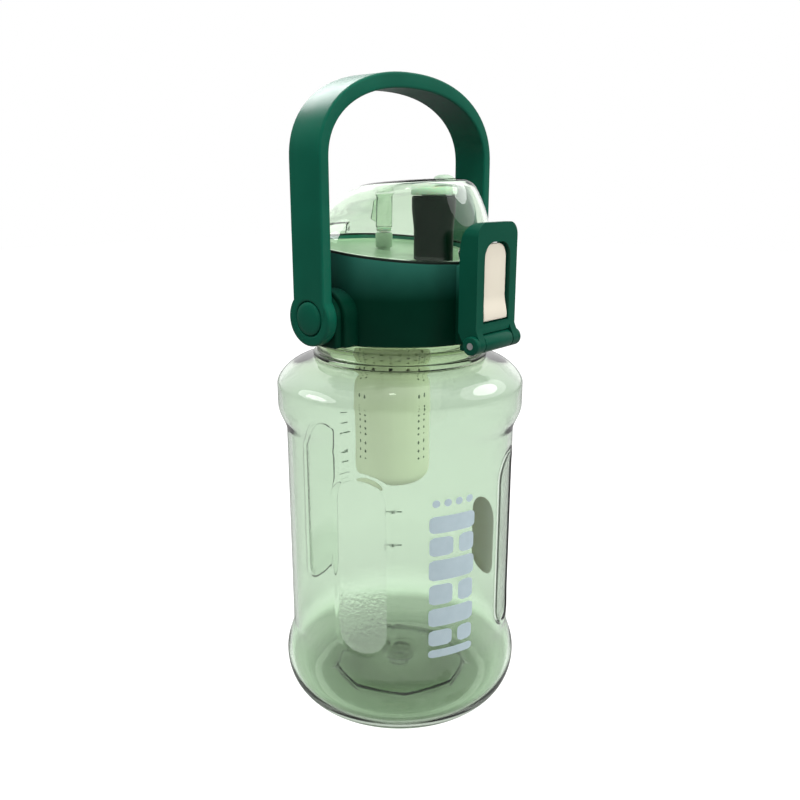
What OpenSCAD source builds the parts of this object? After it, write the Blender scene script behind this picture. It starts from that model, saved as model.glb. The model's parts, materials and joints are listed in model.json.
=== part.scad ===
// Large clear water jug with a screw lid, flip cover, front lock and carry handle.
// Millimetres. The origin is the centre of the foot, +Z is up, the lock faces -Y
// and the handle pivots lie on the X axis's two sides.

/* [Bottle] */
// Outer diameter at both bulges
bottle_d = 118; // [112:1:130]
// How far the waist lies inside the bulges
waist_inset = 3.8; // [2.5:0.1:5]
// Wall of the body
bottle_wall = 2; // [1.6:0.1:2.4]
// Height from the foot to the waist
lower_bulge_h = 36; // [32:1:40]
// Height of the widest ring of the lower bulge
lower_ring_h = 18.5; // [14:0.5:22]
// Height of the straight waist
waist_h = 102; // [96:1:120]
// Height from the waist to the upper bulge's widest ring
upper_bulge_h = 13; // [9:1:16]
// Height of the straight band on the upper bulge
upper_band_h = 10; // [4:1:14]
// Rise of the shoulder from that band to the neck ring
shoulder_h = 11.5; // [9:0.5:18]
// How far the foot ring lies inside the bulge
foot_inset = 13.3; // [9:0.1:15]
// Width of the flat foot ring
foot_w = 5; // [3:0.5:7]
// Rise of the dome pressed into the base
punt_h = 8; // [5:0.5:11]

/* [Grip panels] */
// Number of frosted grip panels
panel_count = 3; // [1:1:3]
// Turn of the middle panel from the front, about the bottle's axis
panel_turn = -73; // [-180:1:180]
// Angle from one panel to the next
panel_step = 100; // [50:1:120]
// Height of a panel's middle above the foot
panel_mid = 85; // [82:1:92]
// Width of a panel
panel_w = 33; // [24:1:38]
// Height of a panel
panel_h = 86; // [60:1:90]
// Corner radius of a panel
panel_round = 11; // [6:0.5:12]
// Depth that a panel is sunk
panel_depth = 1; // [0.6:0.1:1.4]

/* [Neck] */
// Height of the ring between the shoulder and the neck
neck_ring_h = 3.5; // [2.5:0.5:5]
// Height of the plain neck
neck_h = 5; // [4:0.5:8]
// Height of the bead under the lid
bead_h = 3; // [2:0.5:4]
// Height of the threaded finish above the bead
finish_h = 21; // [19:0.5:24]
// Wall of the threaded finish
finish_wall = 2.2; // [1.8:0.1:2.6]
// How far the plain neck stands out from the finish
neck_step = 2.5; // [2:0.1:3]
// How far the neck ring stands out from the plain neck
neck_ring_step = 1.8; // [1:0.1:2.4]
// Lead of the screw thread
thread_lead = 6; // [5.6:0.1:6.4]
// Depth of the thread
thread_depth = 1.4; // [1.2:0.1:1.6]
// Turns of thread on the neck and in the lid
thread_turns = 1.25; // [1:0.05:1.4]

/* [Lid] */
// Outer diameter of the lid's collar
collar_d = 86; // [84:0.5:88]
// Height of the collar at the bottle's axis, up to the cover seam
collar_h = 40; // [38:0.2:42]
// Wall of the collar
collar_wall = 2.2; // [1.8:0.1:2.4]
// Slope of the seam, down towards the front
seam_tilt = 6.1; // [3:0.1:7]
// Depth of the deck below the seam
deck_drop = 3; // [2.4:0.1:3.6]
// Thickness of the deck and of the inner ceiling
deck_t = 2.2; // [1.8:0.1:2.6]
// Wall of the threaded insert
insert_wall = 1.8; // [1.6:0.1:2]
// Thickness of the rim seal
rim_seal_t = 2.5; // [2:0.1:3]
// Thickness of the dark seal under the cover
cover_seal_t = 0.9; // [0.6:0.1:1.1]

/* [Flip cover] */
// Height of the cover above the seam, at the bottle's axis
cover_h = 28.4; // [27.6:0.1:29.2]
// Wall of the cover
cover_wall = 2; // [1.6:0.1:2.2]
// Diameter of the cover's roof
roof_d = 56; // [54:1:60]
// How far the roof lies towards the front
roof_shift = 4.2; // [3.4:0.1:5]
// Slope of the roof, down towards the rear
roof_tilt = 4; // [3:0.5:5]
// Radius of the roof's rounded edge
roof_round = 5; // [4:0.5:6]
// Height of the cover's shoulder above the seam
cover_bend_h = 10; // [8:0.5:12]
// Radius of the cover at its shoulder
cover_bend_r = 39; // [38:0.5:40]
// Width of the tongue at the front
tongue_w = 22; // [18:1:22]
// Height of the tongue
tongue_h = 10; // [8:0.5:11]

/* [Cover hinge] */
// Distance from the bottle's axis to the hinge axis
hinge_y = 49; // [48.5:0.1:50]
// Height of the hinge axis above the collar's lower edge
hinge_h = 17.4; // [16:0.2:18]
// Outer radius of the hinge knuckles
hinge_r = 5; // [4.6:0.1:5.2]
// Half width of the cover's hinge arm
arm_half_w = 8.8; // [8:0.1:10]
// Thickness of the cover's hinge arm
arm_t = 4.4; // [3.6:0.1:4.8]
// Thickness of each hinge ear
ear_t = 4; // [3:0.5:5]
// Half width of the gap for the spring
spring_half_w = 4; // [3.9:0.1:4.6]

/* [Spout and vent] */
// Distance from the bottle's axis to the spout
spout_y = 19.5; // [18.5:0.1:20]
// Outer radius of the spout
spout_r = 9.3; // [8.8:0.1:9.5]
// Bore radius of the spout
spout_bore_r = 7.2; // [6.8:0.1:7.4]
// Distance from the bottle's axis to the vent, at the rear
vent_y = 10; // [8:0.5:12]
// Outer radius of the vent stub
vent_r = 4; // [3.6:0.1:4.4]
// Height of the vent stub above the deck
vent_h = 7; // [5:0.5:9]

/* [Lock] */
// Distance from the bottle's axis to the lock's hinge axis
lock_y = 52.8; // [52.4:0.1:53.2]
// Height of the lock's hinge axis above the collar's lower edge
lock_hinge_h = 1.3; // [1:0.1:1.6]
// Radius of the lock's knuckles
knuckle_r = 4; // [3.6:0.1:4.2]
// Half of the lock hinge's whole length
knuckle_half_l = 17.1; // [16.5:0.1:19]
// Half width of the lock frame
lock_half_w = 15; // [14.8:0.1:16]
// Height of the lock frame above its hinge axis
lock_h = 50.8; // [50:0.2:53]
// How far the lock's front face stands before its hinge axis
lock_proud = 1.5; // [1.2:0.1:1.7]
// Thickness of the lock's front plate
lock_plate_t = 3.2; // [2.6:0.1:3.4]
// Depth of the lock frame from front to rear
lock_depth = 9.2; // [7.5:0.1:9.4]
// Thickness of the lock's side walls
lock_wall = 2.5; // [2:0.1:2.6]

/* [Release button] */
// Half width of the button
button_half_w = 9; // [8:0.1:9.2]
// Height of the button's lower end above the lock's hinge axis
button_low = 9.4; // [9.2:0.1:9.8]
// Length of the button
button_l = 32.6; // [30:0.2:34]
// Thickness of the button's face
button_t = 3; // [2.4:0.1:3.2]
// Travel of the button
button_travel = 2.5; // [1.5:0.1:2.6]

/* [Carry handle] */
// Outer half span of the handle
handle_half_w = 59.8; // [59:0.1:62]
// Height of the handle's top above its pivots
handle_h = 101.3; // [100.6:0.1:110]
// Height of the arched part of the handle
handle_arch_h = 37; // [34:1:44]
// Thickness of the legs
handle_t = 5.7; // [5:0.1:6.4]
// Thickness of the cross grip
grip_t = 6.6; // [5.6:0.1:7]
// Width of the handle's band
handle_w = 17.6; // [14:0.2:18]
// Radius of the eyes at the pivots
eye_r = 11.8; // [10.5:0.1:12.4]
// Height of the pivots above the collar's lower edge
pivot_h = 12.8; // [12.6:0.1:14]
// Radius of the pivot bosses on the collar
boss_r = 13; // [12:0.1:13.6]
// Radius of the pivot pins
pivot_pin_r = 3; // [2.5:0.1:3.4]
// Radius of the pivot caps
cap_r = 7.1; // [6.6:0.1:7.6]

/* [Strainer] */
// Outer radius of the strainer
strainer_r = 18.5; // [16:0.5:19]
// Distance from the bottle's axis to the strainer's, at the rear
strainer_y = 5; // [4:0.1:6]
// Length of the strainer below the ceiling
strainer_l = 98.6; // [80:0.2:110]
// Wall of the strainer
strainer_wall = 1.4; // [1.2:0.1:1.8]
// Rows of holes
strainer_rows = 8; // [3:1:10]
// Holes in a row
strainer_holes = 14; // [8:2:18]
// Radius of a hole
strainer_hole_r = 0.9; // [0.6:0.1:1.1]

/* [Clearances] */
// Gap between pieces that are fixed together
fit_gap = 0.1; // [0.05:0.05:0.15]
// Gap between a pin and the bore that turns on it
run_gap = 0.08; // [0.05:0.01:0.1]
// Gap between pieces that move past each other
move_gap = 0.5; // [0.4:0.05:0.6]

/* [Hidden] */
$fn = 96;
steps = 8;
big = 400;
green = "#0f5440";
clear_green = "#a9cfaa";
clear_soft = "#dfe8dd";
cream = "#e6dccb";
steel = "#b9bec4";
beige = "#cfc9a6";
dark_rubber = "#16221d";

// Small sizes that stay fixed
floor_extra = 0.4;
thread_gap = 0.4;
thread_rise = 4;
thread_bite = 0.8;
bead_inset = 1;
seam_gap = 0.3;
spout_drop = 6;
spout_flange = 1.8;
spout_flange_t = 2.2;
stopper_gap = 0.3;
stopper_rim = 0.9;
stopper_bevel = 1.2;
spout_flare = 0.5;
stopper_plug = 2;
vent_wall = 2;
vent_neck = 1;
vent_plug_t = 1.6;
boss_step = 2.4;
boss_step_t = 4;
root_depth = 4;
button_recess = 1.6;
button_lip = 1.4;
button_lip_h = 1.5;
button_slope_h = 9;
stem_r = 2;
button_round = 6;
lock_round = 6;
lock_bend_h = 13.5;
knuckle_side = 1.4;
cap_t = 2.2;
cap_proud = 0.7;
screw_head_t = 1.6;
screw_gap = 3.8;
flange_lip = 1.2;
flange_t = 2;
flange_drop = 5.5;
holder_lip_t = 1.9;
holder_wall = 1.4;
strainer_round = 7;
strainer_row_gap = 4;
strainer_plain = 10;
arch_power = 2.3;

// Levels of the bottle
bottle_r = bottle_d / 2;
waist_r = bottle_r - waist_inset;
foot_r = bottle_r - foot_inset;
floor_t = bottle_wall + floor_extra;
waist_z = lower_bulge_h;
waist_top = waist_z + waist_h;
band_z = waist_top + upper_bulge_h;
band_top = band_z + upper_band_h;
ring_z = band_top + shoulder_h;
neck_z = ring_z + neck_ring_h;
bead_z = neck_z + neck_h;
finish_z = bead_z + bead_h;
rim_z = finish_z + finish_h;

// Radii of the lid and, inside it, of the bottle's threaded finish
collar_r = collar_d / 2;
collar_in = collar_r - collar_wall;
insert_r = collar_in - fit_gap;
insert_in = insert_r - insert_wall;
finish_r = insert_in - thread_gap - thread_depth;
mouth_r = finish_r - finish_wall;
neck_r = finish_r + neck_step;
neck_ring_r = neck_r + neck_ring_step;
bead_r = collar_r - bead_inset;

// Levels of the lid
collar_z = finish_z + move_gap;
seam_z = collar_z + collar_h;
seal_z = rim_z + fit_gap;
ceiling_z = seal_z + rim_seal_t + fit_gap;
ceiling_top = ceiling_z + deck_t;
rim_drop = cover_seal_t + seam_gap;
roof_z = seam_z + cover_h;
vent_top = seam_z - deck_drop + sin(seam_tilt) * (vent_y + vent_r) + fit_gap + vent_h;
spout_top = roof_z - spout_drop;
pivot_z = collar_z + pivot_h;
lock_z = collar_z + lock_hinge_h;
hinge_z = collar_z + hinge_h;

// Front housing and lock
lock_front = lock_y + lock_proud;
lock_rear = lock_front - lock_depth;
housing_half_w = lock_half_w - lock_wall - move_gap - fit_gap;
button_front = lock_front - button_recess;
button_rear = button_front - button_t;
housing_front = button_rear - button_travel - move_gap;
seam_front = seam_z - sin(seam_tilt) * collar_r;
housing_top = seam_front - rim_drop - fit_gap;
knuckle_split = button_half_w + knuckle_side;
tongue_y = collar_r + move_gap;
stem_z = lock_z + button_low + button_l * 0.45;

// Handle and its pivots
handle_in = handle_half_w - handle_t;
boss_end = handle_in - move_gap;
handle_top = pivot_z + handle_h;
arch_z = handle_top - handle_arch_h;
screw_head_r = cap_r - 1.2;
screw_in = collar_in + screw_gap;

// Strainer
holder_in = strainer_r + move_gap;
flange_r = holder_in + flange_lip;
holder_r = flange_r + move_gap + holder_wall;
flange_z = ceiling_z - flange_drop;
strainer_z = ceiling_z - strainer_l;

// Springs
hinge_pin_r = 1.5;
hinge_wire = 0.7;
hinge_coil_r = 2.9;
hinge_turns = 5;
hinge_leg = 7;
button_wire = 0.6;
button_coil_r = 3.2;
button_turns = 3;
well_floor = collar_r + 1;
hinge_coil_l = 2 * (spring_half_w - 0.8);
hinge_path = concat(
    [[-hinge_coil_l / 2, hinge_y - hinge_coil_r, hinge_z - hinge_leg]],
    [for (i = [0:8 * hinge_turns]) let (t = 45 * i)
        [hinge_coil_l * (i / (8 * hinge_turns) - 0.5),
         hinge_y - hinge_coil_r * cos(t), hinge_z + hinge_coil_r * sin(t)]],
    [[hinge_coil_l / 2, hinge_y - hinge_coil_r, hinge_z + hinge_leg]]);
button_spring_l = button_rear - well_floor - button_wire - 2 * fit_gap;
button_path = [for (i = [0:8 * button_turns]) let (t = 45 * i)
    [button_coil_r * cos(t),
     -button_rear + button_wire / 2 + fit_gap + button_spring_l * i / (8 * button_turns),
     stem_z + button_coil_r * sin(t)]];

// Curves
function blend(a, b, n = steps) =
    [for (i = [0:n]) let (t = i / n, u = (1 - cos(180 * t)) / 2)
        [a[0] + (b[0] - a[0]) * u, a[1] + (b[1] - a[1]) * t]];
function bezier(a, b, c, d, n = steps) =
    [for (i = [0:n]) let (t = i / n, s = 1 - t)
        s * s * s * a + 3 * s * s * t * b + 3 * s * t * t * c + t * t * t * d];
function quarter(a, b, n = steps) =
    [for (i = [0:n]) let (t = 90 * i / n)
        [a[0] + (b[0] - a[0]) * sin(t), a[1] + (b[1] - a[1]) * (1 - cos(t))]];
function arch(half_w, z0, z1, n = 2 * steps) =
    [for (i = [0:2 * n]) let (t = 90 * i / n, c = cos(t), s = sin(t))
        [half_w * sign(c) * pow(abs(c), 2 / arch_power), z0 + (z1 - z0) * pow(s, 2 / arch_power)]];
function reversed(list) = [for (i = [len(list) - 1:-1:0]) list[i]];

// A tube of six sides along points, whose sections are set by two crossing directions
function ring_points(p, side, up, r) =
    [for (k = [0:5]) p + r * cos(60 * k) * side + r * sin(60 * k) * up];
function unit(v) = v / norm(v);
function path_way(path, i) =
    unit(path[min(i + 1, len(path) - 1)] - path[max(i - 1, 0)]);
function path_side(path, i, axis) = unit(cross(path_way(path, i), axis));
function tube_points(path, r, axis) =
    [for (i = [0:len(path) - 1]) let (side = path_side(path, i, axis))
        each ring_points(path[i], side, cross(path_way(path, i), side), r)];
function tube_faces(n) = concat(
    [for (k = [1:4]) [0, k, k + 1]],
    [for (i = [0:n - 2], k = [0:5], h = [0:1]) let (a = 6 * i + k, b = 6 * i + (k + 1) % 6)
        h == 0 ? [a, a + 6, b] : [b, a + 6, b + 6]],
    [for (k = [1:4]) [6 * n - 6, 6 * n - 6 + k + 1, 6 * n - 6 + k]]);
function least_gap(path, wire, apart) =
    min([for (i = [0:len(path) - 1], j = [0:len(path) - 1])
        if (j - i >= apart) norm(path[i] - path[j])]) - wire;

module tube(path, r, axis) {
    polyhedron(points = tube_points(path, r, axis), faces = tube_faces(len(path)));
}

// Extrusions of a flat drawing: X and Z along Y, or Y and Z along X
module slab_y(y0, y1) {
    translate([0, y1, 0]) rotate([90, 0, 0]) linear_extrude(height = y1 - y0) children();
}
module slab_x(x0, x1) {
    translate([x0, 0, 0]) rotate([90, 0, 90]) linear_extrude(height = x1 - x0) children();
}
module both_sides() {
    children();
    mirror([1, 0, 0]) children();
}
module rounded_rect(w, h, r) {
    square([w - 2 * r, h], center = true);
    square([w, h - 2 * r], center = true);
    for (x = [-1, 1], z = [-1, 1]) translate([x * (w / 2 - r), z * (h / 2 - r)]) circle(r);
}
module on_seam() {
    translate([0, 0, seam_z]) rotate([seam_tilt, 0, 0]) children();
}
module seam_slab(z0, z1) {
    on_seam() translate([-big / 2, -big / 2, z0]) cube([big, big, z1 - z0]);
}

// Interrupted thread: short ridges that climb a right-handed helix in level steps
module thread(root_r, crest_r, z0, turn0) {
    per_turn = 12;
    ridge_angle = 24;
    root_h = thread_lead * 0.22;
    crest_h = thread_lead * 0.12;
    for (i = [0:floor(per_turn * thread_turns) - 1])
        translate([0, 0, z0 + thread_lead * i / per_turn]) rotate(turn0 + 360 * i / per_turn)
            rotate_extrude(angle = ridge_angle)
                polygon([[root_r, -root_h], [crest_r, -crest_h], [crest_r, crest_h], [root_r, root_h]]);
}

// Bottle
module panel_prism(grow) {
    translate([0, 0, panel_mid]) slab_y(-bottle_r - grow, -waist_r / 2)
        rounded_rect(panel_w + 2 * grow, panel_h + 2 * grow, panel_round + grow);
}
module waist_ring(r0, r1) {
    difference() {
        translate([0, 0, waist_z]) cylinder(r = r1, h = waist_h);
        cylinder(r = r0, h = waist_top + 1);
    }
}
module each_panel() {
    for (i = [0:panel_count - 1]) rotate(panel_turn + (i - 1) * panel_step) children();
}
module bottle_body_profile() {
    w = bottle_wall;
    inner_foot = foot_r - foot_w;
    punt_r = inner_foot * 0.45;
    outside = concat(
        blend([punt_r, punt_h], [inner_foot, 0]),
        quarter([foot_r, 0], [bottle_r, lower_ring_h]),
        blend([bottle_r, lower_ring_h], [waist_r, waist_z]),
        blend([waist_r, waist_top], [bottle_r, band_z]));
    inside = concat(
        blend([bottle_r - w, band_z], [waist_r - w, waist_top]),
        blend([waist_r - w, waist_z], [bottle_r - w, lower_ring_h]),
        reversed(quarter([foot_r - w / 2, floor_t], [bottle_r - w, lower_ring_h])),
        blend([inner_foot, floor_t], [punt_r, punt_h + floor_t]));
    polygon(concat([[0, punt_h]], outside, inside, [[0, punt_h + floor_t]]));
}
module bottle_body() {
    color(clear_green, 0.5) difference() {
        union() {
            rotate_extrude() bottle_body_profile();
            each_panel() intersection() {
                waist_ring(waist_r - panel_depth - bottle_wall, waist_r - bottle_wall / 2);
                panel_prism(bottle_wall);
            }
        }
        each_panel() intersection() {
            waist_ring(waist_r - panel_depth, bottle_r);
            panel_prism(0);
        }
    }
}

// Upper band and shoulder; the body, shoulder, neck and mouth are one moulding
module bottle_shoulder() {
    w = bottle_wall;
    outside = bezier([bottle_r, band_top], [bottle_r, band_top + shoulder_h * 0.25],
                     [bottle_r - shoulder_h * 0.6, ring_z], [neck_ring_r, ring_z]);
    inside = bezier([mouth_r, ring_z], [bottle_r - w - shoulder_h * 0.6, ring_z - w],
                    [bottle_r - w, band_top + shoulder_h * 0.25 - w], [bottle_r - w, band_top - w / 2]);
    color(clear_green, 0.5) rotate_extrude()
        polygon(concat([[bottle_r, band_z]], outside, inside, [[bottle_r - w, band_z]]));
}

// Neck with its ring and bead
module bottle_neck() {
    color(clear_green, 0.5) rotate_extrude()
        polygon([[neck_ring_r, ring_z], [neck_ring_r, neck_z], [neck_r, neck_z], [neck_r, bead_z],
                 [bead_r, bead_z], [bead_r, finish_z], [mouth_r, finish_z], [mouth_r, ring_z]]);
}

// Mouth of the bottle with the thread that the lid screws on to
module bottle_finish() {
    color(clear_green, 0.5) {
        rotate_extrude() translate([mouth_r, finish_z]) square([finish_wall, finish_h]);
        thread(finish_r - thread_bite, finish_r + thread_depth, finish_z + thread_rise, 0);
    }
}

// Seal between the bottle's rim and the lid's ceiling
module rim_seal() {
    color(clear_soft) translate([0, 0, seal_z]) difference() {
        cylinder(r = finish_r + 0.2, h = rim_seal_t);
        translate([0, 0, -1]) cylinder(r = mouth_r, h = rim_seal_t + 2);
    }
}

// Lid
module pivot_boss() {
    slab_x(collar_r - 2 * root_depth, boss_end) {
        translate([0, pivot_z]) circle(boss_r - boss_step);
        translate([boss_step - boss_r, collar_z]) square([2 * (boss_r - boss_step), pivot_h]);
    }
    slab_x(collar_r - 2 * root_depth, boss_end - boss_step_t) {
        translate([0, pivot_z]) circle(boss_r);
        translate([-boss_r, collar_z]) square([2 * boss_r, pivot_h]);
    }
}
module front_housing() {
    translate([-housing_half_w, -housing_front, collar_z])
        cube([2 * housing_half_w, housing_front - collar_in + root_depth, housing_top - collar_z]);
    slab_x(-knuckle_split, knuckle_split) {
        translate([-lock_y, lock_z]) circle(knuckle_r);
        translate([-lock_y, lock_z - knuckle_r]) square([lock_y - collar_in + root_depth, 1.5 * knuckle_r]);
    }
}
module hinge_ear() {
    slab_x(arm_half_w + move_gap, arm_half_w + move_gap + ear_t) {
        translate([hinge_y, hinge_z]) circle(hinge_r);
        translate([collar_in - root_depth, hinge_z - hinge_r])
            square([hinge_y - collar_in + root_depth, 2 * hinge_r]);
    }
}
module pivot_bore(r) {
    translate([screw_in - fit_gap, 0, pivot_z]) rotate([0, 90, 0]) cylinder(r = r, h = big);
}
module cross_bore(y, z, r) {
    translate([-big / 2, y, z]) rotate([0, 90, 0]) cylinder(r = r, h = big);
}
module lid_shell() {
    color(green) {
        difference() {
            union() {
                difference() {
                    translate([0, 0, collar_z]) cylinder(r = collar_r, h = 1.5 * collar_h);
                    seam_slab(-rim_drop, big);
                }
                both_sides() pivot_boss();
                both_sides() hinge_ear();
                front_housing();
            }
            cylinder(r = collar_in, h = big);
            cylinder(r = bead_r + move_gap, h = collar_z);
            both_sides() pivot_bore(pivot_pin_r + fit_gap / 2);
            cross_bore(hinge_y, hinge_z, hinge_pin_r + fit_gap / 2);
            cross_bore(-lock_y, lock_z, hinge_pin_r + fit_gap / 2);
            button_well();
        }
        difference() {
            intersection() {
                cylinder(r = collar_in + 0.2, h = big);
                seam_slab(-deck_drop - deck_t, -deck_drop);
            }
            translate([0, -spout_y, 0]) cylinder(r = spout_r + fit_gap, h = big);
            translate([0, vent_y, 0]) cylinder(r = vent_r - vent_neck + fit_gap, h = big);
        }
    }
}
module button_well() {
    translate([0, -button_front, stem_z]) rotate([-90, 0, 0])
        cylinder(r = button_coil_r + button_wire + move_gap, h = button_front - well_floor);
    translate([0, -button_front, stem_z]) rotate([-90, 0, 0])
        cylinder(r = stem_r + move_gap, h = button_front - collar_in + 1);
}

// Threaded insert with the ceiling over the bottle's mouth
module lid_insert() {
    skirt_z = collar_z + 1;
    color(green) difference() {
        union() {
            difference() {
                translate([0, 0, skirt_z]) cylinder(r = insert_r, h = ceiling_top - skirt_z);
                translate([0, 0, skirt_z - 1]) cylinder(r = insert_in, h = ceiling_z - skirt_z + 1);
            }
            thread(insert_in + thread_bite, insert_in - thread_depth, finish_z + thread_rise, 180);
            translate([0, 0, ceiling_z - 2]) difference() {
                cylinder(r = mouth_r - move_gap, h = 2);
                translate([0, 0, -1]) cylinder(r = mouth_r - move_gap - 1.4, h = 4);
            }
        }
        translate([0, -spout_y, 0]) cylinder(r = spout_bore_r, h = big);
        translate([0, vent_y, 0]) cylinder(r = vent_r - vent_wall, h = big);
    }
}

// Mouthpiece that stands on the ceiling and comes up through the deck
module drinking_spout() {
    low = ceiling_top + fit_gap;
    flange = spout_r + spout_flange;
    waist = spout_r - spout_flare;
    color(green) translate([0, -spout_y, 0]) rotate_extrude() polygon([
        [spout_bore_r, low], [flange, low], [flange, low + spout_flange_t], [waist, low + spout_flange_t],
        [waist, spout_top - 14], [spout_r, spout_top - 4], [spout_r, spout_top - 1],
        [spout_r - 1, spout_top], [spout_bore_r, spout_top]]);
}

// Air inlet
module vent_stub() {
    low = ceiling_top + fit_gap;
    deck_z = vent_top - vent_h;
    bore = vent_r - vent_wall;
    color(green) translate([0, vent_y, 0]) rotate_extrude() polygon([
        [bore, low], [vent_r - vent_neck, low], [vent_r - vent_neck, deck_z], [vent_r, deck_z],
        [vent_r, vent_top], [bore, vent_top]]);
}

// Dark ring between the collar and the cover
module cover_seal() {
    color(dark_rubber) on_seam() translate([0, 0, -rim_drop]) difference() {
        cylinder(r = collar_r - 0.2, h = cover_seal_t);
        translate([0, 0, -1]) cylinder(r = collar_in + 0.2, h = cover_seal_t + 2);
    }
}

// Clear cover
module dome(inset) {
    hull() {
        on_seam() translate([0, 0, inset > 0 ? -1 : 0]) cylinder(r = collar_r - inset, h = 1, $fn = 64);
        on_seam() translate([0, 0, cover_bend_h / 2]) cylinder(r = collar_r - inset - 0.6, h = 1, $fn = 64);
        translate([0, -roof_shift / 2, seam_z + cover_bend_h])
            cylinder(r = cover_bend_r - inset, h = 1, $fn = 64);
        translate([0, -roof_shift, roof_z - roof_round]) rotate([-roof_tilt, 0, 0])
            rotate_extrude($fn = 48) translate([roof_d / 2 - roof_round, 0])
                circle(roof_round - inset, $fn = 32);
    }
}
module cover_arm() {
    slab_x(-arm_half_w, arm_half_w) {
        translate([hinge_y, hinge_z]) circle(hinge_r);
        translate([hinge_y - hinge_r, hinge_z]) square([arm_t, seam_z + 11 - hinge_z]);
        translate([collar_r - 8, seam_z + 5.2]) square([hinge_y - hinge_r - collar_r + 9, 5.8]);
    }
}
module cover_tongue() {
    difference() {
        slab_x(-tongue_w / 2, tongue_w / 2) intersection() {
            translate([-tongue_y, seam_front]) square(tongue_h);
            translate([-tongue_y + tongue_h, seam_front]) circle(tongue_h);
        }
        cylinder(r = collar_r - cover_wall / 2, h = big);
    }
}
module flip_cover() {
    color(clear_green, 0.5) difference() {
        union() {
            dome(0);
            cover_arm();
            cover_tongue();
        }
        difference() {
            dome(cover_wall);
            vent_post();
        }
        cross_bore(hinge_y, hinge_z, hinge_pin_r + run_gap);
        translate([-spring_half_w, hinge_y - 2 * hinge_r, hinge_z - 2 * hinge_r])
            cube([2 * spring_half_w, 4 * hinge_r, 2 * hinge_r + hinge_leg + 1.5]);
    }
}
module vent_post() {
    translate([0, vent_y, vent_top + move_gap + vent_plug_t + fit_gap]) cylinder(r = vent_r, h = cover_h);
}

// Soft plugs under the cover
module spout_stopper() {
    rim = spout_r + stopper_rim;
    low = spout_top + stopper_gap;
    top = roof_z - cover_wall + sin(roof_tilt) * (spout_y - roof_shift - rim) - fit_gap;
    color(clear_soft) translate([0, -spout_y, 0]) rotate_extrude() polygon([
        [0, low - stopper_plug], [spout_bore_r - 2, low - stopper_plug], [spout_bore_r - 1.7, low],
        [rim, low], [rim, top - stopper_bevel], [rim - stopper_bevel, top], [0, top]]);
}
module vent_stopper() {
    color(clear_soft) translate([0, vent_y, vent_top + move_gap])
        cylinder(r = vent_r - 0.4, h = vent_plug_t);
}

// Hinge pins
module cross_pin(y, z, half_l) {
    color(steel) translate([-half_l, y, z]) rotate([0, 90, 0]) cylinder(r = hinge_pin_r, h = 2 * half_l);
}
module cover_hinge_pin() {
    cross_pin(hinge_y, hinge_z, arm_half_w + move_gap + ear_t);
}
module lock_hinge_pin() {
    cross_pin(-lock_y, lock_z, knuckle_half_l);
}

// Springs
module cover_spring() {
    echo(cover_spring_gap = least_gap(hinge_path, hinge_wire, 5));
    color(steel) tube(hinge_path, hinge_wire / 2, [1, 0, 0]);
}
module button_spring() {
    echo(button_spring_gap = least_gap(button_path, button_wire, 5));
    color(steel) tube(button_path, button_wire / 2, [0, 1, 0]);
}

// Cream button in the lock's window
module button_face(grow) {
    z0 = lock_z + button_low - grow;
    z1 = lock_z + button_low + button_l + grow;
    half = button_half_w + grow;
    bend = button_round + grow;
    translate([-half, z0]) square([2 * half, z1 - z0 - bend]);
    translate([bend - half, z0]) square([2 * (half - bend), z1 - z0]);
    for (x = [-1, 1]) translate([x * (half - bend), z1 - bend]) circle(bend);
}
module release_button() {
    low = lock_z + button_low;
    color(cream) {
        slab_y(-button_front, -button_rear) button_face(0);
        slab_x(-button_half_w, button_half_w) polygon([
            [-button_front + 0.01, low], [-button_front - button_lip, low],
            [-button_front - button_lip, low + button_lip_h],
            [-button_front + 0.01, low + button_slope_h]]);
        translate([0, -button_rear - 0.01, stem_z]) rotate([-90, 0, 0])
            cylinder(r = stem_r, h = button_rear - collar_in - button_travel - move_gap);
    }
}

// Lock frame
module lock_outline(grow, top_round) {
    half = lock_half_w - grow;
    z0 = lock_z + knuckle_r + move_gap;
    z1 = lock_z + lock_h - grow;
    translate([-half, z0]) square([2 * half, z1 - z0 - top_round]);
    translate([-half + top_round, z0]) square([2 * half - 2 * top_round, z1 - z0]);
    for (x = [-1, 1]) translate([x * (half - top_round), z1 - top_round]) circle(top_round);
}
module lock_side() {
    z1 = lock_z + lock_h;
    bend = quarter([-lock_front + lock_plate_t, z1], [-lock_rear, z1 - lock_bend_h]);
    polygon(concat([[-lock_front, lock_z], [-lock_rear, lock_z]], reversed(bend), [[-lock_front, z1]]));
}
module lock_frame() {
    color(green) difference() {
        union() {
            slab_y(-lock_front, -lock_front + lock_plate_t) lock_outline(0, lock_round);
            difference() {
                intersection() {
                    slab_y(-lock_front + 0.5, -lock_rear) lock_outline(0, lock_round);
                    slab_x(-lock_half_w, lock_half_w) lock_side();
                }
                slab_y(-lock_front, -lock_rear + 1) {
                    lock_outline(lock_wall, lock_round - lock_wall);
                    translate([-lock_half_w + lock_wall, lock_z])
                        square([2 * (lock_half_w - lock_wall), lock_h / 2]);
                }
            }
            both_sides() slab_x(knuckle_split + move_gap, knuckle_half_l)
                translate([-lock_y, lock_z]) circle(knuckle_r);
            both_sides() translate([knuckle_split + move_gap, -lock_front, lock_z])
                cube([lock_half_w - knuckle_split - move_gap, lock_plate_t, knuckle_r + 2]);
        }
        slab_y(-lock_front - 1, -lock_rear + 1) button_face(move_gap + 0.2);
        cross_bore(-lock_y, lock_z, hinge_pin_r + run_gap);
    }
}

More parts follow.
